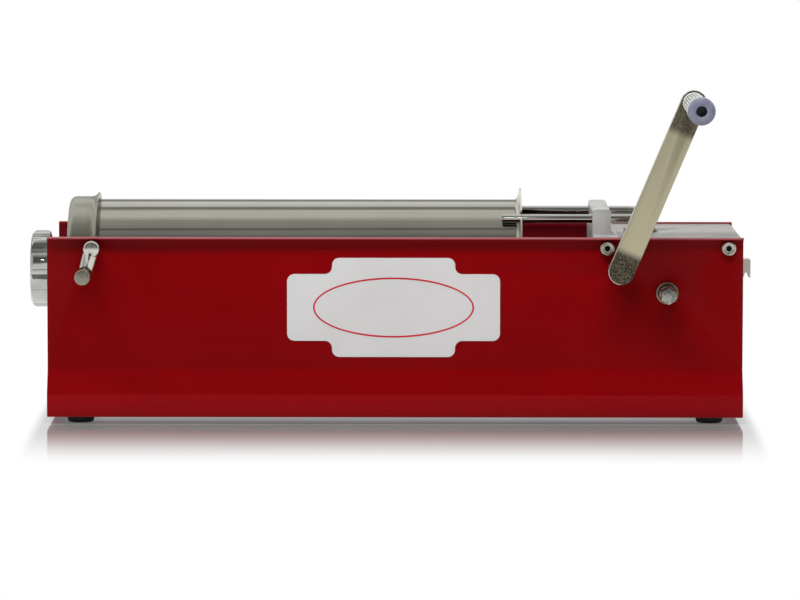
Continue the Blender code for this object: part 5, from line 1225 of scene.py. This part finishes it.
def flat_shape(name, loops, thick, place):
    """A thin flat piece standing in the XZ plane: the first outline outside, the rest holes."""
    line = bpy.data.curves.new(name, "CURVE")
    line.dimensions = "2D"
    line.fill_mode = "BOTH"
    line.extrude = thick / 2
    for loop in loops:
        spline = line.splines.new("POLY")
        spline.points.add(len(loop) - 1)
        for point, corner in zip(spline.points, loop):
            point.co = (corner[0], corner[1], 0, 1)
        spline.use_cyclic_u = True
    piece = bpy.data.objects.new(name, line)
    bpy.context.scene.collection.objects.link(piece)
    pick(piece)
    bpy.ops.object.convert(target="MESH")
    piece = named(name)
    piece.data.transform(Matrix.Translation(place) @ Matrix.Rotation(math.pi / 2, 4, "X"))
    close_up()
    return piece


def make_label():
    """A white plaque on the near side with a plain oval line on it."""
    centre = Vector((MIDDLE_X - 1.4 * MM, WALL_NEAR - 0.2 * MM, 103.9 * MM))
    wide, shoulder = 95.2 * MM, 55 * MM
    tall, side_tall = 44.5 * MM, 30 * MM
    corners = [
        (-wide, -side_tall), (-shoulder, -side_tall), (-shoulder, -tall), (shoulder, -tall),
        (shoulder, -side_tall), (wide, -side_tall), (wide, side_tall), (shoulder, side_tall),
        (shoulder, tall), (-shoulder, tall), (-shoulder, side_tall), (-wide, side_tall),
    ]
    plaque = flat_shape("side_label", [rounded_outline(corners, 6.5 * MM)], 0.3 * MM, centre)
    dress(plaque, LABEL_WHITE, "stand", "white_plastic")
    oval_wide, oval_tall = 72 * MM, 27 * MM
    turns = [2 * math.pi * i / SIDES for i in range(SIDES)]
    loops = [
        [((oval_wide - inset) * math.cos(turn), (oval_tall - inset) * math.sin(turn)) for turn in turns]
        for inset in (0.0, 1.5 * MM)
    ]
    line = flat_shape("label_line", loops, 0.1 * MM, centre - Vector((0, 0.22 * MM, 0)))
    dress(line, LABEL_RED, "stand", "red_paint")


make_tray()
make_feet()
make_cylinder()
make_head()
make_ring_nut()
make_pivots()
make_carriage()
make_rods()
make_gearbox()
make_shafts()
make_screws()
make_crank()
make_grip()
make_label()


# The studio

# How far past the tray the floor turns white, and how much sooner it does so at the tray's ends
FLOOR_FADE = (35 * MM, 280 * MM)
FLOOR_ENDS = 18
# The light on the floor beneath the tray, and where it starts and is full, from the tray's edge outwards
FLOOR_BENEATH = 0.32
FLOOR_EDGE = (12 * MM, -50 * MM)
# The floor's grey for the camera, darker than its own as painted shade near the tray, and its grey for the light
# that it throws back
FLOOR_SEEN = 0.36
FLOOR_LIT = 0.76


def seen_background(tree, *kinds):
    """1 for the kinds of ray that see the pale background."""
    ray = wire(tree, "ShaderNodeLightPath").outputs
    total = ray[kinds[0]]
    for kind in kinds[1:]:
        total = calculate(tree, "MAXIMUM", total, ray[kind])
    return total


def make_floor():
    """A pale floor that keeps the shadow close to the tray, deepened there by painted shade that only the camera
    sees, and is white further out.
    """
    deselect()
    bpy.ops.mesh.primitive_plane_add(size=60, location=(0, 0, 0))
    floor = named("studio_floor")
    made, tree, shader = start_material("pale_floor", 0.0, 0.9)
    shader.inputs["Roughness"].default_value = 0.08
    # Painted shade: camera rays see the darker FLOOR_SEEN grey, which shows near the tray where the white glow is
    # weak.
    tone = spread(tree, seen_background(tree, "Is Camera Ray"), 0.0, 1.0, FLOOR_LIT, FLOOR_SEEN)
    tree.links.new(tone, shader.inputs["Base Color"])
    place = wire(tree, "ShaderNodeTexCoord").outputs["Object"]
    offset = vector_step(tree, "ABSOLUTE", vector_step(tree, "SUBTRACT", place, (MIDDLE_X, MIDDLE_Y, 0)))
    past = vector_step(tree, "SUBTRACT", offset, (half("tray").x, half("tray").y, 0))
    outside = vector_step(tree, "MAXIMUM", past, (0, 0, 0))
    outside = vector_step(tree, "MULTIPLY", outside, (FLOOR_ENDS, 1, 1))
    reach = wire(tree, "ShaderNodeVectorMath", {0: outside}, operation="LENGTH").outputs["Value"]
    white = smooth_spread(tree, reach, *FLOOR_FADE)
    sides = wire(tree, "ShaderNodeSeparateXYZ", {"Vector": past}).outputs
    edge = calculate(tree, "MAXIMUM", sides["X"], sides["Y"])
    beneath = spread(tree, edge, *FLOOR_EDGE, 0.0, FLOOR_BENEATH)
    rays = seen_background(tree, "Is Camera Ray", "Is Glossy Ray", "Is Transmission Ray")
    share = calculate(tree, "MULTIPLY", rays, calculate(tree, "ADD", beneath, white))
    glow = wire(tree, "ShaderNodeEmission", {"Color": (1, 1, 1, 1)}).outputs["Emission"]
    mix = wire(tree, "ShaderNodeMixShader", {"Fac": share, 1: shader.outputs["BSDF"], 2: glow})
    tree.links.new(mix.outputs["Shader"], tree.nodes["Material Output"].inputs["Surface"])
    floor.data.materials.append(made)


# The room's brightness from the front horizon (0), over the top (0.5), to the back horizon (1)
ROOM = (
    (0.00, 0.28),
    (0.05, 0.26),
    (0.12, 0.14),
    (0.30, 0.14),
    (0.38, 0.42),
    (0.41, 0.42),
    (0.418, 0.16),
    (0.428, 0.16),
    (0.436, 0.50),
    (0.52, 0.58),
    (0.545, 0.85),
    (0.57, 1.10),
    (0.66, 1.10),
    (0.69, 0.36),
    (0.72, 0.36),
    (0.74, 1.15),
    (0.84, 1.15),
    (0.87, 0.35),
    (0.93, 0.35),
    (0.955, 0.95),
    (1.00, 1.00),
)
ROOM_SIDES = 0.75
# How far to the left or right, as a direction's X, the panels turn into the room's sides
ROOM_TURN = (0.75, 0.97)
# A colour ramp's values stay under 1, so it holds the brightness divided by this
ROOM_STRENGTH = 2.0


def grey(level):
    """A grey with its alpha."""
    return (level, level, level, 1)


def make_world():
    """A room of soft panels over the object, and white where the camera looks past the floor."""
    world = bpy.data.worlds.new("studio")
    bpy.context.scene.world = world
    world.use_nodes = True
    tree = world.node_tree
    tree.nodes.clear()
    place = wire(tree, "ShaderNodeTexCoord").outputs["Generated"]
    parts = wire(tree, "ShaderNodeSeparateXYZ", {"Vector": place}).outputs
    front = calculate(tree, "MULTIPLY", parts["Y"], -1)
    angle = calculate(tree, "ARCTAN2", parts["Z"], front)
    panels = wire(tree, "ShaderNodeValToRGB", {"Fac": calculate(tree, "DIVIDE", angle, math.pi)})
    stops = panels.color_ramp.elements
    while len(stops) > 1:
        stops.remove(stops[-1])
    for i, (at, level) in enumerate(ROOM):
        stop = stops[0] if i == 0 else stops.new(at)
        stop.position = at
        stop.color = grey(level / ROOM_STRENGTH)
    turn = smooth_spread(tree, calculate(tree, "ABSOLUTE", parts["X"]), *ROOM_TURN)
    colour = mix_colours(tree, turn, panels.outputs["Color"], grey(ROOM_SIDES / ROOM_STRENGTH))
    room = wire(tree, "ShaderNodeBackground", {"Color": colour, "Strength": ROOM_STRENGTH})
    backdrop = wire(tree, "ShaderNodeBackground", {"Color": grey(1)})
    rays = seen_background(tree, "Is Camera Ray", "Is Transmission Ray")
    mix = wire(
        tree, "ShaderNodeMixShader",
        {"Fac": rays, 1: room.outputs["Background"], 2: backdrop.outputs["Background"]},
    )
    wire(tree, "ShaderNodeOutputWorld", {"Surface": mix.outputs["Shader"]})


def add_lamp(name, place, target, size, power, mirrored):
    """A soft rectangular lamp; mirrored says whether polished metal shows it."""
    lamp = bpy.data.lights.new(name, "AREA")
    lamp.shape = "RECTANGLE"
    lamp.size, lamp.size_y = size
    lamp.energy = power
    made = bpy.data.objects.new(name, lamp)
    made.location = place
    made.rotation_euler = (Vector(target) - Vector(place)).to_track_quat("-Z", "Y").to_euler()
    made.visible_glossy = mirrored
    bpy.context.scene.collection.objects.link(made)


def make_camera():
    """The photograph's view: a long lens a little above the tray, square to its near side."""
    lens, sensor = 225.0, 36.0
    pitch, roll = math.radians(5.77), math.radians(0.08)
    aim = Vector((MIDDLE_X + 4.35 * MM, WALL_NEAR, 110.65 * MM))
    distance = 4470 * MM
    camera = bpy.data.cameras.new("photo_camera")
    camera.lens = lens
    camera.sensor_width = sensor
    camera.clip_start = 0.05
    camera.clip_end = 200
    made = bpy.data.objects.new("photo_camera", camera)
    made.location = aim - distance * Vector((0, math.cos(pitch), -math.sin(pitch)))
    face = Matrix.Rotation(math.pi / 2 - pitch, 3, "X") @ Matrix.Rotation(roll, 3, "Z")
    made.rotation_euler = face.to_euler()
    bpy.context.scene.collection.objects.link(made)
    bpy.context.scene.camera = made


make_floor()
make_world()
add_lamp(
    "strip", place=(MIDDLE_X - 0.25, WALL_NEAR - 0.85, 1.69), target=(MIDDLE_X, WALL_NEAR, 0.16),
    size=(2.2, 0.12), power=35, mirrored=False,
)
add_lamp(
    "spark", place=(MIDDLE_X - 1.3, WALL_NEAR - 3.6, 2.3), target=(MIDDLE_X + 0.2, WALL_NEAR, 0.2),
    size=(0.1, 0.1), power=5, mirrored=True,
)
make_camera()
bpy.context.scene.view_settings.view_transform = "Standard"

bpy.context.view_layer.update()
